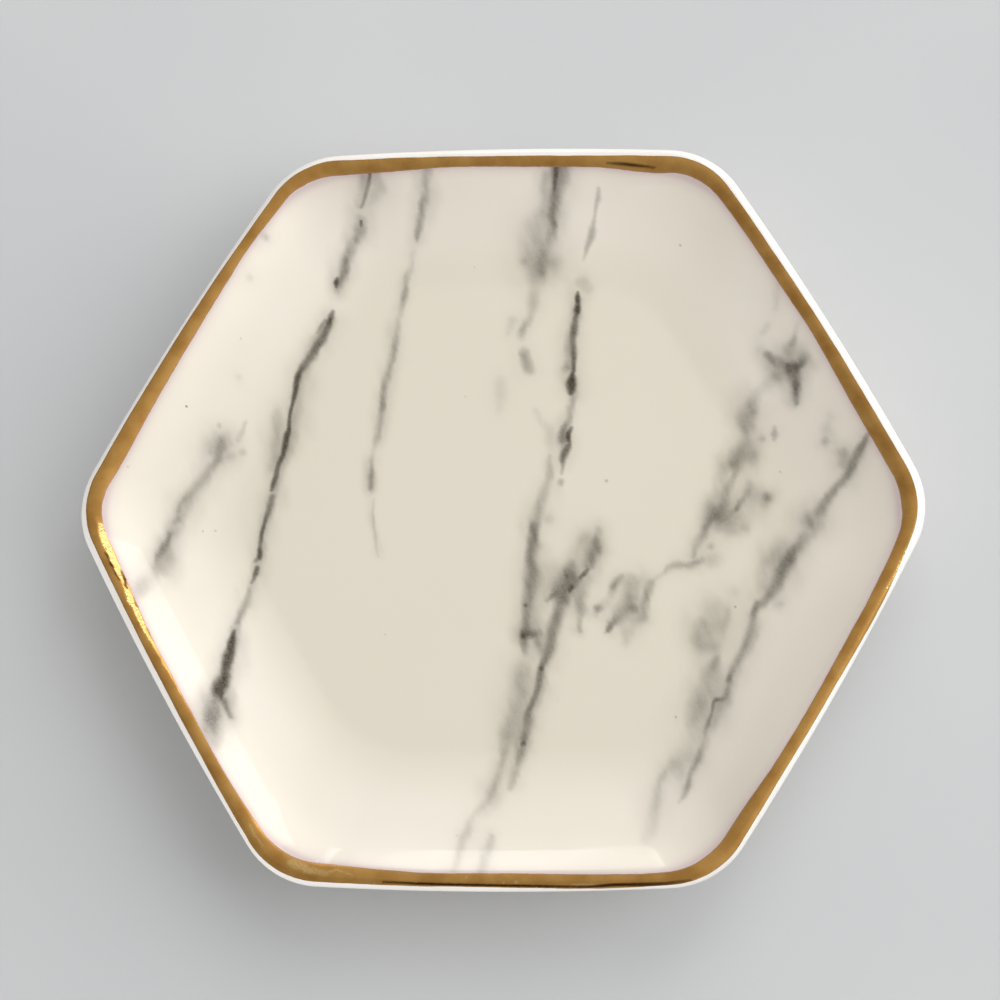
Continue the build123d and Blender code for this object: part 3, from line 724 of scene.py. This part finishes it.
def mesh_piece(name, points, faces, node_name, normals=None):
    """A smooth mesh object at the origin, inside the model's box, that rides with the dish for a model's node."""
    mesh = bpy.data.meshes.new(name)
    points = np.clip(points, *cad_box)
    mesh.from_pydata(points.tolist(), [], faces if isinstance(faces, list) else faces.tolist())
    mesh.polygons.foreach_set("use_smooth", np.ones(len(mesh.polygons), bool))
    if normals is not None:
        mesh.normals_split_custom_set_from_vertices(normals.tolist())
    mesh.update()
    piece = bpy.data.objects.new(name, mesh)
    bpy.context.scene.collection.objects.link(piece)
    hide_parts(node_name)
    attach(piece, "root")
    return piece


def add_attribute(piece, name, values):
    """Stores one number per vertex for the material to read, and 0 for the vertices that get none."""
    values = np.asarray(values, np.float32)
    attribute = piece.data.attributes.new(name, "FLOAT", "POINT")
    attribute.data.foreach_set("value", np.pad(values, (0, len(piece.data.vertices) - len(values))))


def grid_faces(rows, columns):
    """Quads of a grid that closes on itself both ways, row by row."""
    row, column = np.arange(rows)[:, None], np.arange(columns)[None, :]
    after_row, after_column = (row + 1) % rows, (column + 1) % columns
    corners = (
        row * columns + column, row * columns + after_column, after_row * columns + after_column,
        after_row * columns + column,
    )
    return np.stack(np.broadcast_arrays(*corners), -1).reshape(-1, 4)


def glaze_coat():
    """The main coat, closed: up the outside and over the lip to the floor, then back 0.3 mm deeper.

    A profile of half widths and heights is carried round the hexagon. Under the marble transfer its face lies
    the transfer's thickness down. It ends on the floor in a flat face within the transfer's shadow.
    """
    edge = RIM_HALF_WIDTH - TRANSFER_EDGE_INSET
    under = inside_curve(edge, FLOOR_HALF_WIDTH, INSIDE_STEPS)
    under[:, 1] -= TRANSFER_THICKNESS
    face = np.concatenate([outside_curve(), inside_curve(LIP_CREST, edge, CREST_STEPS)[1:], under])
    back = face - profile_normals(face) * GLAZE_THICKNESS
    back[-1] = face[-1] - np.array([0, GLAZE_THICKNESS])
    profile = np.concatenate([face, back[::-1]])
    rings, _ = hexagon_ring(profile[:, 0], corner_radius_at(profile[:, 0]))
    columns = rings.shape[1]
    points = np.concatenate([rings, np.broadcast_to(profile[:, 1][:, None, None], (*rings.shape[:2], 1))], -1)
    top_ring, low_ring = (len(face) - 1) * columns, len(face) * columns
    faces = np.delete(grid_faces(len(profile), columns), slice(top_ring, low_ring), axis=0).tolist()
    faces.append(list(range(top_ring, top_ring + columns)))
    faces.append(list(range(low_ring, low_ring + columns))[::-1])
    return mesh_piece("glaze_coat_fired", points.reshape(-1, 3), faces, "glaze_coat")


def most_near(values, reach):
    """The largest value within reach grid steps, along rows and then along columns."""
    for axis in (0, 1):
        near = [np.roll(values, shift, axis) for shift in range(-reach, reach + 1)]
        values = np.max(near, axis=0)
    return values


def unevenness(ink, reach):
    """How far a straight run between grid points reach steps away would miss the ink, at worst, near each point."""
    missed = [np.abs(ink - (np.roll(ink, reach, axis) + np.roll(ink, -reach, axis)) / 2) for axis in (0, 1)]
    return most_near(np.maximum(*missed), reach)


def triangles(plan):
    """Triangles that join plan points without a gap, all anticlockwise (the Delaunay triangulation)."""
    found = delaunay_2d_cdt([Vector(point) for point in (plan / MM).tolist()], [], [], 0, SAME_PLACE)
    order = np.array([origin[0] for origin in found[3]])
    faces = order[np.array(found[2])]
    first, second, third = plan[faces[:, 0]], plan[faces[:, 1]], plan[faces[:, 2]]
    to_second, to_third = second - first, third - first
    turns = to_second[:, 0] * to_third[:, 1] - to_second[:, 1] * to_third[:, 0]
    faces[turns < 0] = faces[turns < 0][:, ::-1]
    return faces[np.abs(turns) > NO_AREA]


def marble_transfer():
    """The fired transfer, closed: its glaze face with the ink, and a plain face the transfer's thickness down.

    Its points lie on a square grid over the plan. All of them are kept where the ink has detail, and every
    second, fourth or eighth where it has less. Height and normal come from the dish's own profile.
    """
    edge = RIM_HALF_WIDTH - TRANSFER_EDGE_INSET
    reach = int(math.ceil(edge / math.cos(SIDE_TURN / 2) / FINEST_STEP / COARSEST)) * COARSEST
    steps = np.arange(-reach, reach + 1)
    column, row = np.meshgrid(steps, steps)
    plan = np.stack([column, row], -1) * FINEST_STEP
    left, _ = outside_by(plan.reshape(-1, 2), np.full(column.size, edge))
    left = left.reshape(column.shape)
    within = left < 0
    height, _ = glaze_face(plan[within])
    ink = np.zeros(column.shape)
    ink[within] = marble_ink(*seen_at(np.column_stack([plan[within], height])))

    def every(count):
        return (column % count == 0) & (row % count == 0)

    kept = every(COARSEST) | (every(2) & (left > -RIM_BAND)) | (every(4) & (unevenness(ink, 4) > UNEVEN))
    kept |= (every(2) & (unevenness(ink, 2) > UNEVEN)) | (unevenness(ink, 1) > VERY_UNEVEN)
    ring, _ = hexagon_ring(edge, corner_radius_at(edge), *TRANSFER_EDGE_STEPS)
    top = np.concatenate([ring[0], plan[kept & (left < -EDGE_CLEARANCE)]])
    base = np.concatenate([ring[0], plan[every(COARSEST) & (left < -FINEST_STEP)]])
    height, normal = glaze_face(top)
    base_height, base_normal = glaze_face(base)
    count, around = len(top), np.arange(len(ring[0]))
    after = np.roll(around, -1)
    wall = np.concatenate(
        [np.stack([around, around + count, after + count], -1), np.stack([around, after + count, after], -1)]
    )
    points = np.concatenate(
        [np.column_stack([top, height]), np.column_stack([base, base_height - TRANSFER_THICKNESS])]
    )
    faces = np.concatenate([triangles(top), triangles(base)[:, ::-1] + count, wall])
    piece = mesh_piece(
        "marble_transfer_fired", points, faces, "marble_transfer", np.concatenate([normal, -base_normal])
    )
    half_width, _ = half_width_at(top)
    past_gold = RIM_HALF_WIDTH - half_width - gold_insets(ring_angle(top))[1]
    pooled = np.clip((FLOOR_HALF_WIDTH + POOL_WIDTH - half_width) / POOL_WIDTH, 0, 1)
    add_attribute(piece, "ink", marble_ink(*seen_at(points[:count])))
    add_attribute(piece, "pooled", POOL_DEPTH * pooled * pooled * (3 - 2 * pooled))
    add_attribute(piece, "by_gold", np.exp(-np.clip(past_gold, 0, None) / FUME_REACH))
    return piece


# Where the gold was rubbed into bright flakes, partly painted highlights where it gleams, where its skin is creased
# so that it leans inwards, and painted dark reflections along its edges: strokes as the veins have, in pixels of
# the photograph.
GOLD_FLAKES_AND_GLEAMS = [
    [(100.5, 526, 3, 1), (106, 545, 3, 1), (114, 561, 2.6, 1), (121, 575, 2.6, 1), (126, 586, 2.2, .6),
     (129, 598, 3, 1), (135, 607, 2.6, 1), (140.5, 618, 2, .9), (146, 634, 1.4, .7), (153, 643, 1, .4)],
    [(919, 518, 1.6, .7), (915, 530, 2, 1), (909, 548, 2, 1), (900, 566, 1.8, .9), (889, 586, 1.5, .7)],
    [(291, 863, 4, .9), (307, 869, 4, 1), (324, 873, 2.6, .7), (337, 870, 1, .8), (352, 875, 1, .8)],
    [(250, 826, 1.6, .8), (262, 846, 1.6, .6)], [(466, 878, 1.3, 1)], [(503, 883.5, 1.6, 1)], [(516, 883, 2, 1)],
    [(574, 884, 1.2, .8), (592, 884, 1.2, .8)], [(630, 871.5, 1.2, .6)],
]
GOLD_CREASED = [
    [(98, 519, 2.5, .6), (103, 529, 5, 1), (107, 538, 6, 1), (111.5, 548, 6.6, 1), (118, 563, 6, 1),
     (123, 574, 5, .9), (127, 584, 5, .6), (132, 596, 6, 1), (137, 607, 5.6, 1), (142, 618, 4.8, 1),
     (150.5, 636, 3.6, .9), (158.5, 652, 2.4, .7), (168.5, 670, 2, .6), (178.5, 686, 1.8, .5), (188, 704, 1.6, .3)],
]
# Painted dark reflection and shade along the line's edges, where the gold would mirror dark surroundings.
GOLD_DARK_REFLECTIONS = [
    [(384, 882, 1.1, .8), (420, 883.6, 1.3, 1), (477, 885, 1.3, 1), (530, 886, 1.3, 1), (585, 886.8, 1.3, 1),
     (615, 885, 1.8, 1), (662, 884, 2, .9), (690, 880.5, 1.5, .5)], [(608, 163, 1.2, .5), (629, 164.5, 1.8, .9),
     (654, 167.5, 1.2, .7)], [(121, 571, 1.4, .8), (125, 581, 2, 1), (127, 588, 1.4, .8)], [(106, 553, .8, .7),
     (113, 568, 1, .9), (119, 580, .8, .6)], [(133, 598, .8, .7), (142, 614, .9, .9), (148, 628, .8, .8),
     (158, 648, .7, .6)],
]

# The gold line's two edges, as insets from the rim in millimetres: the outer every 15 degrees from +X, and the
# inner every 7.5. It was laid by hand: it runs far out on the front side and far in at the back right.
GOLD_OUTER_EDGE = (
    1.3, 1.5, 1.45, 1.55, 1.6, 1.75, 1.75, 1.55, 1.35, 1.1, 1.0, 1.05,
    1.15, 1.1, 1.0, 0.8, 0.6, 0.5, 0.45, 0.2, 0.4, 0.6, 0.55, 0.4,
)
GOLD_INNER_EDGE = (
    3.65, 3.7, 3.7, 3.5, 3.25, 3.4, 3.45, 3.6, 3.95, 4.05, 3.5, 3.4,
    3.3, 3.2, 3.45, 3.65, 3.55, 3.0, 2.7, 2.9, 3.05, 3.25, 3.45, 3.65,
    3.5, 3.45, 3.1, 2.8, 2.85, 2.75, 2.65, 3.0, 3.4, 3.2, 2.65, 2.35,
    2.45, 2.35, 2.15, 2.0, 2.7, 2.95, 2.55, 2.3, 2.35, 2.4, 2.45, 2.7,
)
GOLD_STEPS = (180, 130)  # along each side and round each corner
GOLD_ROWS = 17  # across the line
GOLD_BODY, GOLD_EDGE = 0.045 * MM, 0.008 * MM  # its thickness along the middle and at the edges
GOLD_SHOULDER = 8  # the power by which it thins: the higher, the nearer to its edges
GOLD_SUNK = 0.03 * MM  # its underside lies this far in the glaze
CREASE_LEAN = math.radians(30)  # of the normals where the gold is creased
BRUSH_WAVER, OUTER_SHAKE, INNER_SHAKE = 0.07 * MM, 0.015 * MM, 0.03 * MM  # of the edges, slow and quick
OUTER_SIZES, INNER_SIZES = (30, 6), (26, 5)  # of these, slow and quick, in pixels of the photograph
CREASE_RAGGED, WEAR_AND_REFLECTION_RAGGED = 1.6, 2.2  # pixels by which creases, worn places and painted reflections waver
CREASE_SIZE, WEAR_AND_REFLECTION_SIZE = 7, 5  # sizes of these, in pixels
CREASE_SOFTNESS, FLAKE_AND_GLEAM_SOFTNESS, DARK_REFLECTION_SOFTNESS = 0.3, 0.4, 0.5


def ring_angle(plan):
    """The turn round the dish of each plan point, from +X."""
    return np.arctan2(plan[:, 1], plan[:, 0])


def gold_insets(angle):
    """Insets of the line's outer and inner edges: a smooth closed curve through the hand's positions."""
    insets = []
    for edge in (GOLD_OUTER_EDGE, GOLD_INNER_EDGE):
        place = np.mod(angle, 2 * math.pi) / (2 * math.pi) * len(edge)
        start = np.floor(place).astype(int)
        t = place - start
        a, b, c, d = (np.array(edge)[(start + shift) % len(edge)] for shift in (-1, 0, 1, 2))
        curve = b + 0.5 * t * (c - a + t * (2 * a - 5 * b + 4 * c - d + t * (3 * (b - c) + d - a)))
        insets.append(curve * MM)
    return insets


def gold_line():
    """The gold line, closed: thickest along its middle and thinning to its edges, which waver as brushed ones do.

    Rows run across it, from a share of -1 at the outer edge to 1 at the inner, columns run round the dish. Each
    point is the rim's, moved in along the rim's normal by the inset and up from the glaze by the thickness. The
    underside's rows run back. Where the gold is creased, its normals lean inwards.
    """
    rim, outward = (values[0] for values in hexagon_ring(RIM_HALF_WIDTH, RIM_CORNER_RADIUS, *GOLD_STEPS))
    outer, inner = gold_insets(ring_angle(rim))
    x, y = seen_at(np.column_stack([rim, np.full(len(rim), HEIGHT)]))
    slow, quick = OUTER_SIZES
    outer = outer + BRUSH_WAVER * clouds(x, y, slow, 71) + OUTER_SHAKE * clouds(x, y, quick, 73)
    slow, quick = INNER_SIZES
    inner = inner + BRUSH_WAVER * clouds(x, y, slow, 75) + INNER_SHAKE * clouds(x, y, quick, 77)
    share = np.linspace(-1, 1, GOLD_ROWS)
    inset = outer + (inner - outer) * (share[:, None] + 1) / 2
    plan = (rim - outward * inset[..., None]).reshape(-1, 2)
    height, normal = glaze_face(plan)
    glaze = np.column_stack([plan, height])
    body = GOLD_EDGE + (GOLD_BODY - GOLD_EDGE) * (1 - np.abs(share) ** GOLD_SHOULDER)
    raised = glaze + normal * np.repeat(body, len(rim))[:, None]

    def run_back(values):
        return values.reshape(GOLD_ROWS, len(rim), 3)[::-1].reshape(-1, 3)

    points = np.concatenate([raised, run_back(glaze - normal * GOLD_SUNK)])
    x, y = seen_at(raised)
    crease_x = x + CREASE_RAGGED * clouds(x, y, CREASE_SIZE, 85)
    crease_y = y + CREASE_RAGGED * clouds(x, y, CREASE_SIZE, 87)
    creased = painted(crease_x, crease_y, GOLD_CREASED, CREASE_SOFTNESS)[:, None]
    facet = np.column_stack([-outward * math.sin(CREASE_LEAN), np.full(len(rim), math.cos(CREASE_LEAN))])
    leaning = normal * (1 - creased) + np.tile(facet, (GOLD_ROWS, 1)) * creased
    leaning /= np.linalg.norm(leaning, axis=1)[:, None]
    faces = grid_faces(2 * GOLD_ROWS, len(rim))
    normals = np.concatenate([leaning, run_back(-normal)])
    piece = mesh_piece("gold_line_painted", points, faces, "gold_rim_band", normals)
    x, y = seen_at(points)
    ragged_x = x + WEAR_AND_REFLECTION_RAGGED * clouds(x, y, WEAR_AND_REFLECTION_SIZE, 81)
    ragged_y = y + WEAR_AND_REFLECTION_RAGGED * clouds(x, y, WEAR_AND_REFLECTION_SIZE, 83)
    add_attribute(piece, "across", np.repeat(np.concatenate([share, share[::-1]]), len(rim)))
    # Flakes: rubbed gold, and where the line gleams, a painted highlight in its colour.
    add_attribute(piece, "flaked_and_gleaming", painted(ragged_x, ragged_y, GOLD_FLAKES_AND_GLEAMS, FLAKE_AND_GLEAM_SOFTNESS))
    # Painted dark reflections along the line's edges, where it would mirror dark surroundings.
    add_attribute(piece, "dark_reflection", painted(ragged_x, y, GOLD_DARK_REFLECTIONS, DARK_REFLECTION_SOFTNESS))
    return piece


# Colours and nodes
MULTIPLY = {"operation": "MULTIPLY", "use_clamp": True}
COLOURS = {"data_type": "RGBA"}  # a mix of two colours has its factor in input 0, and the colours in 6 and 7


def srgb(code):
    """A hex colour as the linear values that the shaders use."""
    channels = [int(code[i : i + 2], 16) / 255 for i in (1, 3, 5)]
    return [c / 12.92 if c <= 0.04045 else ((c + 0.055) / 1.055) ** 2.4 for c in channels] + [1.0]


def node(tree, kind, settings=None, out=0, **inputs):
    """Adds a node with its settings and inputs, and gives one of its outputs, by number or name.

    An input goes by its name, with _ for a space, or by its number, as in i0. One that is given another node's
    output is linked to it.
    """
    made = tree.nodes.new("ShaderNode" + kind)
    for name, value in (settings or {}).items():
        setattr(made, name, value)
    for name, value in inputs.items():
        socket = made.inputs[int(name[1:]) if name[0] == "i" and name[1:].isdigit() else name.replace("_", " ")]
        if isinstance(value, bpy.types.NodeSocket):
            tree.links.new(value, socket)
        else:
            socket.default_value = value
    return made.outputs[out] if made.outputs else None


def new_material(name):
    """A new material, its tree and its Object coordinates, which are in metres from the dish's origin."""
    material = bpy.data.materials.new(name)
    material.use_nodes = True
    tree = material.node_tree
    tree.nodes.clear()
    return material, tree, node(tree, "TexCoord", out="Object")


# Feldspathic glaze over white porcelain, fired to gloss: an ivory white with hard, nearly sharp reflections, which
# waver a little because the glaze levelled out over the clay. The faint clouds are where it lies thicker.
GLAZE_IVORY, GLAZE_THICK, GLAZE_WHITE = srgb("#F0E8DA"), srgb("#E5DDCB"), srgb("#F5F1EC")
GLAZE_CLOUD, PRINT_CLOUD = 14 * MM, 26 * MM
GLAZE_WEAR = 4 * MM  # patches that use has dulled a little
GLAZE_WAVE, GLAZE_WAVE_DEPTH = 3.2 * MM, 0.012 * MM
GLAZE_SKIN, GLAZE_SKIN_DEPTH = 0.7 * MM, 0.002 * MM


def glazed(tree, place, colour):
    """Ends a material in the glaze's gloss over a colour, with its slight waves and the finer skin between them."""
    wear = node(tree, "TexNoise", Vector=place, Scale=1 / GLAZE_WEAR, Detail=6.0)
    gloss = node(tree, "MapRange", Value=wear, From_Min=0.35, From_Max=0.7, To_Min=0.045, To_Max=0.085)
    waves = node(tree, "TexNoise", Vector=place, Scale=1 / GLAZE_WAVE, Detail=1.0)
    skin = node(tree, "TexNoise", Vector=place, Scale=1 / GLAZE_SKIN, Detail=1.0)
    coarse = node(tree, "Bump", Height=waves, Strength=0.35, Distance=GLAZE_WAVE_DEPTH)
    bump = node(tree, "Bump", Height=skin, Strength=0.3, Distance=GLAZE_SKIN_DEPTH, Normal=coarse)
    surface = node(tree, "BsdfPrincipled", Base_Color=colour, Roughness=gloss, Normal=bump)
    node(tree, "OutputMaterial", Surface=surface)


def clear_glaze():
    """The glaze over bare porcelain: white, with faint ivory clouds."""
    material, tree, place = new_material("clear_porcelain_glaze")
    noise = node(tree, "TexNoise", Vector=place, Scale=1 / GLAZE_CLOUD)
    cloud = node(tree, "MapRange", Value=noise, From_Min=0.4, From_Max=0.6, To_Max=0.3)
    glazed(tree, place, node(tree, "Mix", COLOURS, 2, i0=cloud, i6=GLAZE_WHITE, i7=GLAZE_IVORY))
    return material


# A ceramic transfer fired into that glaze: the printed veins sink in, so their edges feather and the gloss runs
# over them unbroken. Close to the gold the glaze took a faint mauve tint from it in the last firing.
INK_GREY, GOLD_FUME = srgb("#403829"), srgb("#C9B4B4")
INK_GRAIN = 0.35 * MM


def marble_print():
    """The transfer: ivory glaze, deeper coloured where it pooled and in clouds, under the fume and the ink."""
    material, tree, place = new_material("marble_transfer_under_glaze")
    ink, pooled, by_gold = (
        node(tree, "Attribute", {"attribute_name": name}, "Fac") for name in ("ink", "pooled", "by_gold")
    )
    noise = node(tree, "TexNoise", Vector=place, Scale=1 / PRINT_CLOUD)
    cloud = node(tree, "MapRange", Value=noise, From_Min=0.38, From_Max=0.62, To_Max=0.35)
    fume = node(tree, "Math", MULTIPLY, i0=by_gold, i1=0.8)
    grain = node(tree, "TexNoise", Vector=place, Scale=1 / INK_GRAIN)
    grain = node(tree, "MapRange", Value=grain, From_Min=0.3, From_Max=0.7, To_Min=0.95, To_Max=1.05)
    ink = node(tree, "Math", MULTIPLY, i0=ink, i1=grain)
    colour = GLAZE_IVORY
    for share, laid_over in ((pooled, GLAZE_THICK), (cloud, GLAZE_THICK), (fume, GOLD_FUME), (ink, INK_GREY)):
        colour = node(tree, "Mix", COLOURS, 2, i0=share, i6=colour, i7=laid_over)
    glazed(tree, place, colour)
    return material


# Bright gold lustre, brushed on and fired at low heat: a thin mirror with the brush's ripples along it, browner and
# duller where it runs thin at its edges, and crumpled where it was rubbed.
# The darkest colour is a painted dark reflection along the line's edges.
GOLD, GOLD_THIN, GOLD_MIRRORED_DARK = srgb("#E1AC60"), srgb("#A8702E"), srgb("#4A2E10")
# The bright colour over the flakes is partly a painted highlight.
GOLD_FLAKE_AND_GLEAM, GOLD_EDGE_TINT = srgb("#EBC27C"), srgb("#B58F7A")
BRUSH_STREAK = 3.5 * MM
GOLD_RIPPLE, GOLD_RIPPLE_DEPTH = 1.1 * MM, 0.01 * MM
GOLD_CRUMPLE, GOLD_CRUMPLE_DEPTH = 0.45 * MM, 0.10 * MM


def bright_gold():
    """The gold line: thin in streaks and at both edges, tinted at the inner one, flaked in places, partly as
    painted highlights, and darkened along parts of its edges by painted dark reflections.
    """
    material, tree, place = new_material("bright_gold_lustre")
    across, flaked_and_gleaming, dark_reflection = (
        node(tree, "Attribute", {"attribute_name": name}, "Fac") for name in ("across", "flaked_and_gleaming", "dark_reflection")
    )
    off_middle = node(tree, "Math", {"operation": "ABSOLUTE"}, i0=across)
    streaks = node(tree, "TexNoise", Vector=place, Scale=1 / BRUSH_STREAK, Detail=3.0)
    thin = node(tree, "MapRange", Value=streaks, From_Min=0.38, From_Max=0.68, To_Max=0.5)
    edges = node(tree, "MapRange", Value=off_middle, From_Min=0.9, To_Max=0.7)
    feather = node(tree, "MapRange", Value=across, From_Min=0.8, To_Max=0.75)
    colour = GOLD
    for share, laid_over in (
        (thin, GOLD_THIN), (edges, GOLD_THIN), (feather, GOLD_EDGE_TINT), (flaked_and_gleaming, GOLD_FLAKE_AND_GLEAM), (dark_reflection, GOLD_MIRRORED_DARK)
    ):
        colour = node(tree, "Mix", COLOURS, 2, i0=share, i6=colour, i7=laid_over)
    metal = node(tree, "MapRange", Value=feather, From_Max=0.75, To_Min=1.0, To_Max=0.55)
    worn = node(tree, "MapRange", Value=streaks, From_Min=0.3, From_Max=0.7, To_Min=0.2, To_Max=0.32)
    polish = node(tree, "MapRange", Value=flaked_and_gleaming, To_Min=worn, To_Max=0.15)
    ripples = node(tree, "TexNoise", Vector=place, Scale=1 / GOLD_RIPPLE, Detail=1.0)
    crumple = node(tree, "TexNoise", Vector=place, Scale=1 / GOLD_CRUMPLE)
    bump = node(tree, "Bump", Height=ripples, Strength=0.25, Distance=GOLD_RIPPLE_DEPTH)
    bump = node(tree, "Bump", Height=crumple, Strength=flaked_and_gleaming, Distance=GOLD_CRUMPLE_DEPTH, Normal=bump)
    surface = node(tree, "BsdfPrincipled", Base_Color=colour, Metallic=metal, Roughness=polish, Normal=bump)
    node(tree, "OutputMaterial", Surface=surface)
    return material


# Unglazed fired porcelain: matt and very fine grained, a little warmer where the foot was wiped clean.
BARE, BARE_WARM = srgb("#EAE4D8"), srgb("#D9CDB9")
WIPED_PATCH = 5 * MM
BARE_GRAIN, BARE_GRAIN_DEPTH = 0.18 * MM, 0.02 * MM


def bare_porcelain():
    """The clay body, which shows at the foot."""
    material, tree, place = new_material("bare_porcelain_biscuit")
    noise = node(tree, "TexNoise", Vector=place, Scale=1 / WIPED_PATCH, Detail=3.0)
    wiped = node(tree, "MapRange", Value=noise, From_Min=0.4, From_Max=0.65)
    colour = node(tree, "Mix", COLOURS, 2, i0=wiped, i6=BARE, i7=BARE_WARM)
    grain = node(tree, "TexNoise", Vector=place, Scale=1 / BARE_GRAIN)
    bump = node(tree, "Bump", Height=grain, Strength=0.5, Distance=BARE_GRAIN_DEPTH)
    surface = node(tree, "BsdfPrincipled", Base_Color=colour, Roughness=0.75, Normal=bump)
    node(tree, "OutputMaterial", Surface=surface)
    return material


# Matt paper board for a studio floor, in two shades so close that it reads as plain
FLOOR_PALE, FLOOR_SHADE = srgb("#D2D3D3"), srgb("#CDCECF")
FLOOR_PATCH = 90 * MM
FLOOR_REACH = 3.0


def pale_floor():
    """A plain square on the table's level, 6 m wide."""
    material, tree, place = new_material("pale_paper_floor")
    noise = node(tree, "TexNoise", Vector=place, Scale=1 / FLOOR_PATCH)
    shade = node(tree, "MapRange", Value=noise, From_Min=0.35, From_Max=0.65)
    colour = node(tree, "Mix", COLOURS, 2, i0=shade, i6=FLOOR_PALE, i7=FLOOR_SHADE)
    surface = node(tree, "BsdfPrincipled", Base_Color=colour, Roughness=0.85)
    node(tree, "OutputMaterial", Surface=surface)
    mesh = bpy.data.meshes.new("floor")
    corners = [(x * FLOOR_REACH, y * FLOOR_REACH, 0) for x, y in ((-1, -1), (1, -1), (1, 1), (-1, 1))]
    mesh.from_pydata(corners, [], [(0, 1, 2, 3)])
    mesh.materials.append(material)
    piece = bpy.data.objects.new("floor", mesh)
    bpy.context.scene.collection.objects.link(piece)
    return piece


# The dish
glaze = clear_glaze()
for piece, slot, finish in (
    (glaze_coat(), "clear_glaze", glaze),
    (marble_transfer(), "marble_print", marble_print()),
    (gold_line(), "bright_gold", bright_gold()),
):
    piece.data.materials.append(finish)
for name, finish in (("porcelain_body", bare_porcelain()), ("foot_well_glaze", glaze)):
    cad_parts[name].data.materials.clear()
    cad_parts[name].data.materials.append(finish)
pale_floor()

# Floor, light and camera
WORLD_DIM, WORLD_BRIGHT = 0.38, 0.84  # the room's level on its darker side, behind the left, and on the other
WORLD_DIM_FROM = -0.35  # cosine of the angle off the bright side, past which the room gets no darker
BRIGHT_SIDE = math.radians(25)
LAMP_DISTANCE = 1.5
world = bpy.data.worlds.new("studio")
bpy.context.scene.world = world
world.use_nodes = True
tree = world.node_tree
direction = node(tree, "TexCoord", out="Generated")
aim = (math.cos(BRIGHT_SIDE), math.sin(BRIGHT_SIDE), 0)
towards = node(tree, "VectorMath", {"operation": "DOT_PRODUCT"}, "Value", i0=direction, i1=aim)
level = node(tree, "MapRange", Value=towards, From_Min=WORLD_DIM_FROM, To_Min=WORLD_DIM, To_Max=WORLD_BRIGHT)
tree.links.new(level, tree.nodes["Background"].inputs["Strength"])
tree.nodes["Background"].inputs["Color"].default_value = (1, 1, 1, 1)


def area_lamp(name, azimuth, elevation, width, height, level, roll=0, mirrored=True):
    """A rectangle of light 1.5 m from the dish, faced to it from an azimuth and elevation in degrees.

    Its power is level × π × area, so that level is the brightness of its face. Roll turns it in its own plane.
    """
    light = bpy.data.lights.new(name, "AREA")
    light.shape, light.size, light.size_y = "RECTANGLE", width, height
    light.energy = level * math.pi * width * height
    lamp = bpy.data.objects.new(name, light)
    bpy.context.scene.collection.objects.link(lamp)
    turn, rise = math.radians(azimuth), math.radians(elevation)
    towards = Vector((math.cos(turn) * math.cos(rise), math.sin(turn) * math.cos(rise), math.sin(rise)))
    lamp.location = towards * LAMP_DISTANCE
    facing = towards.to_track_quat("Z", "Y") @ Quaternion((0, 0, 1), math.radians(roll))
    lamp.rotation_euler = facing.to_euler()
    lamp.visible_glossy = mirrored


# The soft boxes and the low fill light the dish without showing in it. The windows show in the glaze and in the
# gold.
area_lamp("right_softbox", 5, 35, 1.2, 1.2, 1.75, mirrored=False)
area_lamp("back_softbox", 75, 40, 1.1, 1.1, 1.5, mirrored=False)
area_lamp("window", 56, 32, 0.62, 0.58, 1.9, roll=-38)
area_lamp("low_left_fill", 230, 2.6, 1.2, 0.13, 27.0, mirrored=False)
area_lamp("low_right_window", 16, 13, 1.3, 0.6, 3.0)
area_lamp("narrow_window", 95.5, 21, 0.069, 0.5, 2.6)
area_lamp("dim_window", 93, 22.5, 0.06, 0.56, 1.2)
area_lamp("small_window", 90.7, 19, 0.02, 0.08, 5.0)

camera = bpy.data.objects.new("camera", bpy.data.cameras.new("camera"))
bpy.context.scene.collection.objects.link(camera)
camera.data.sensor_width = 36.0
camera.data.lens = camera.data.sensor_width * FOCAL_PIXELS / PICTURE_SIDE
camera.data.clip_start, camera.data.clip_end = 0.01, 20
camera.matrix_world = Matrix.Translation(Vector(CAMERA_AT)) @ camera_axes().transposed().to_4x4()
bpy.context.scene.camera = camera

bpy.context.scene.view_settings.view_transform = "Standard"
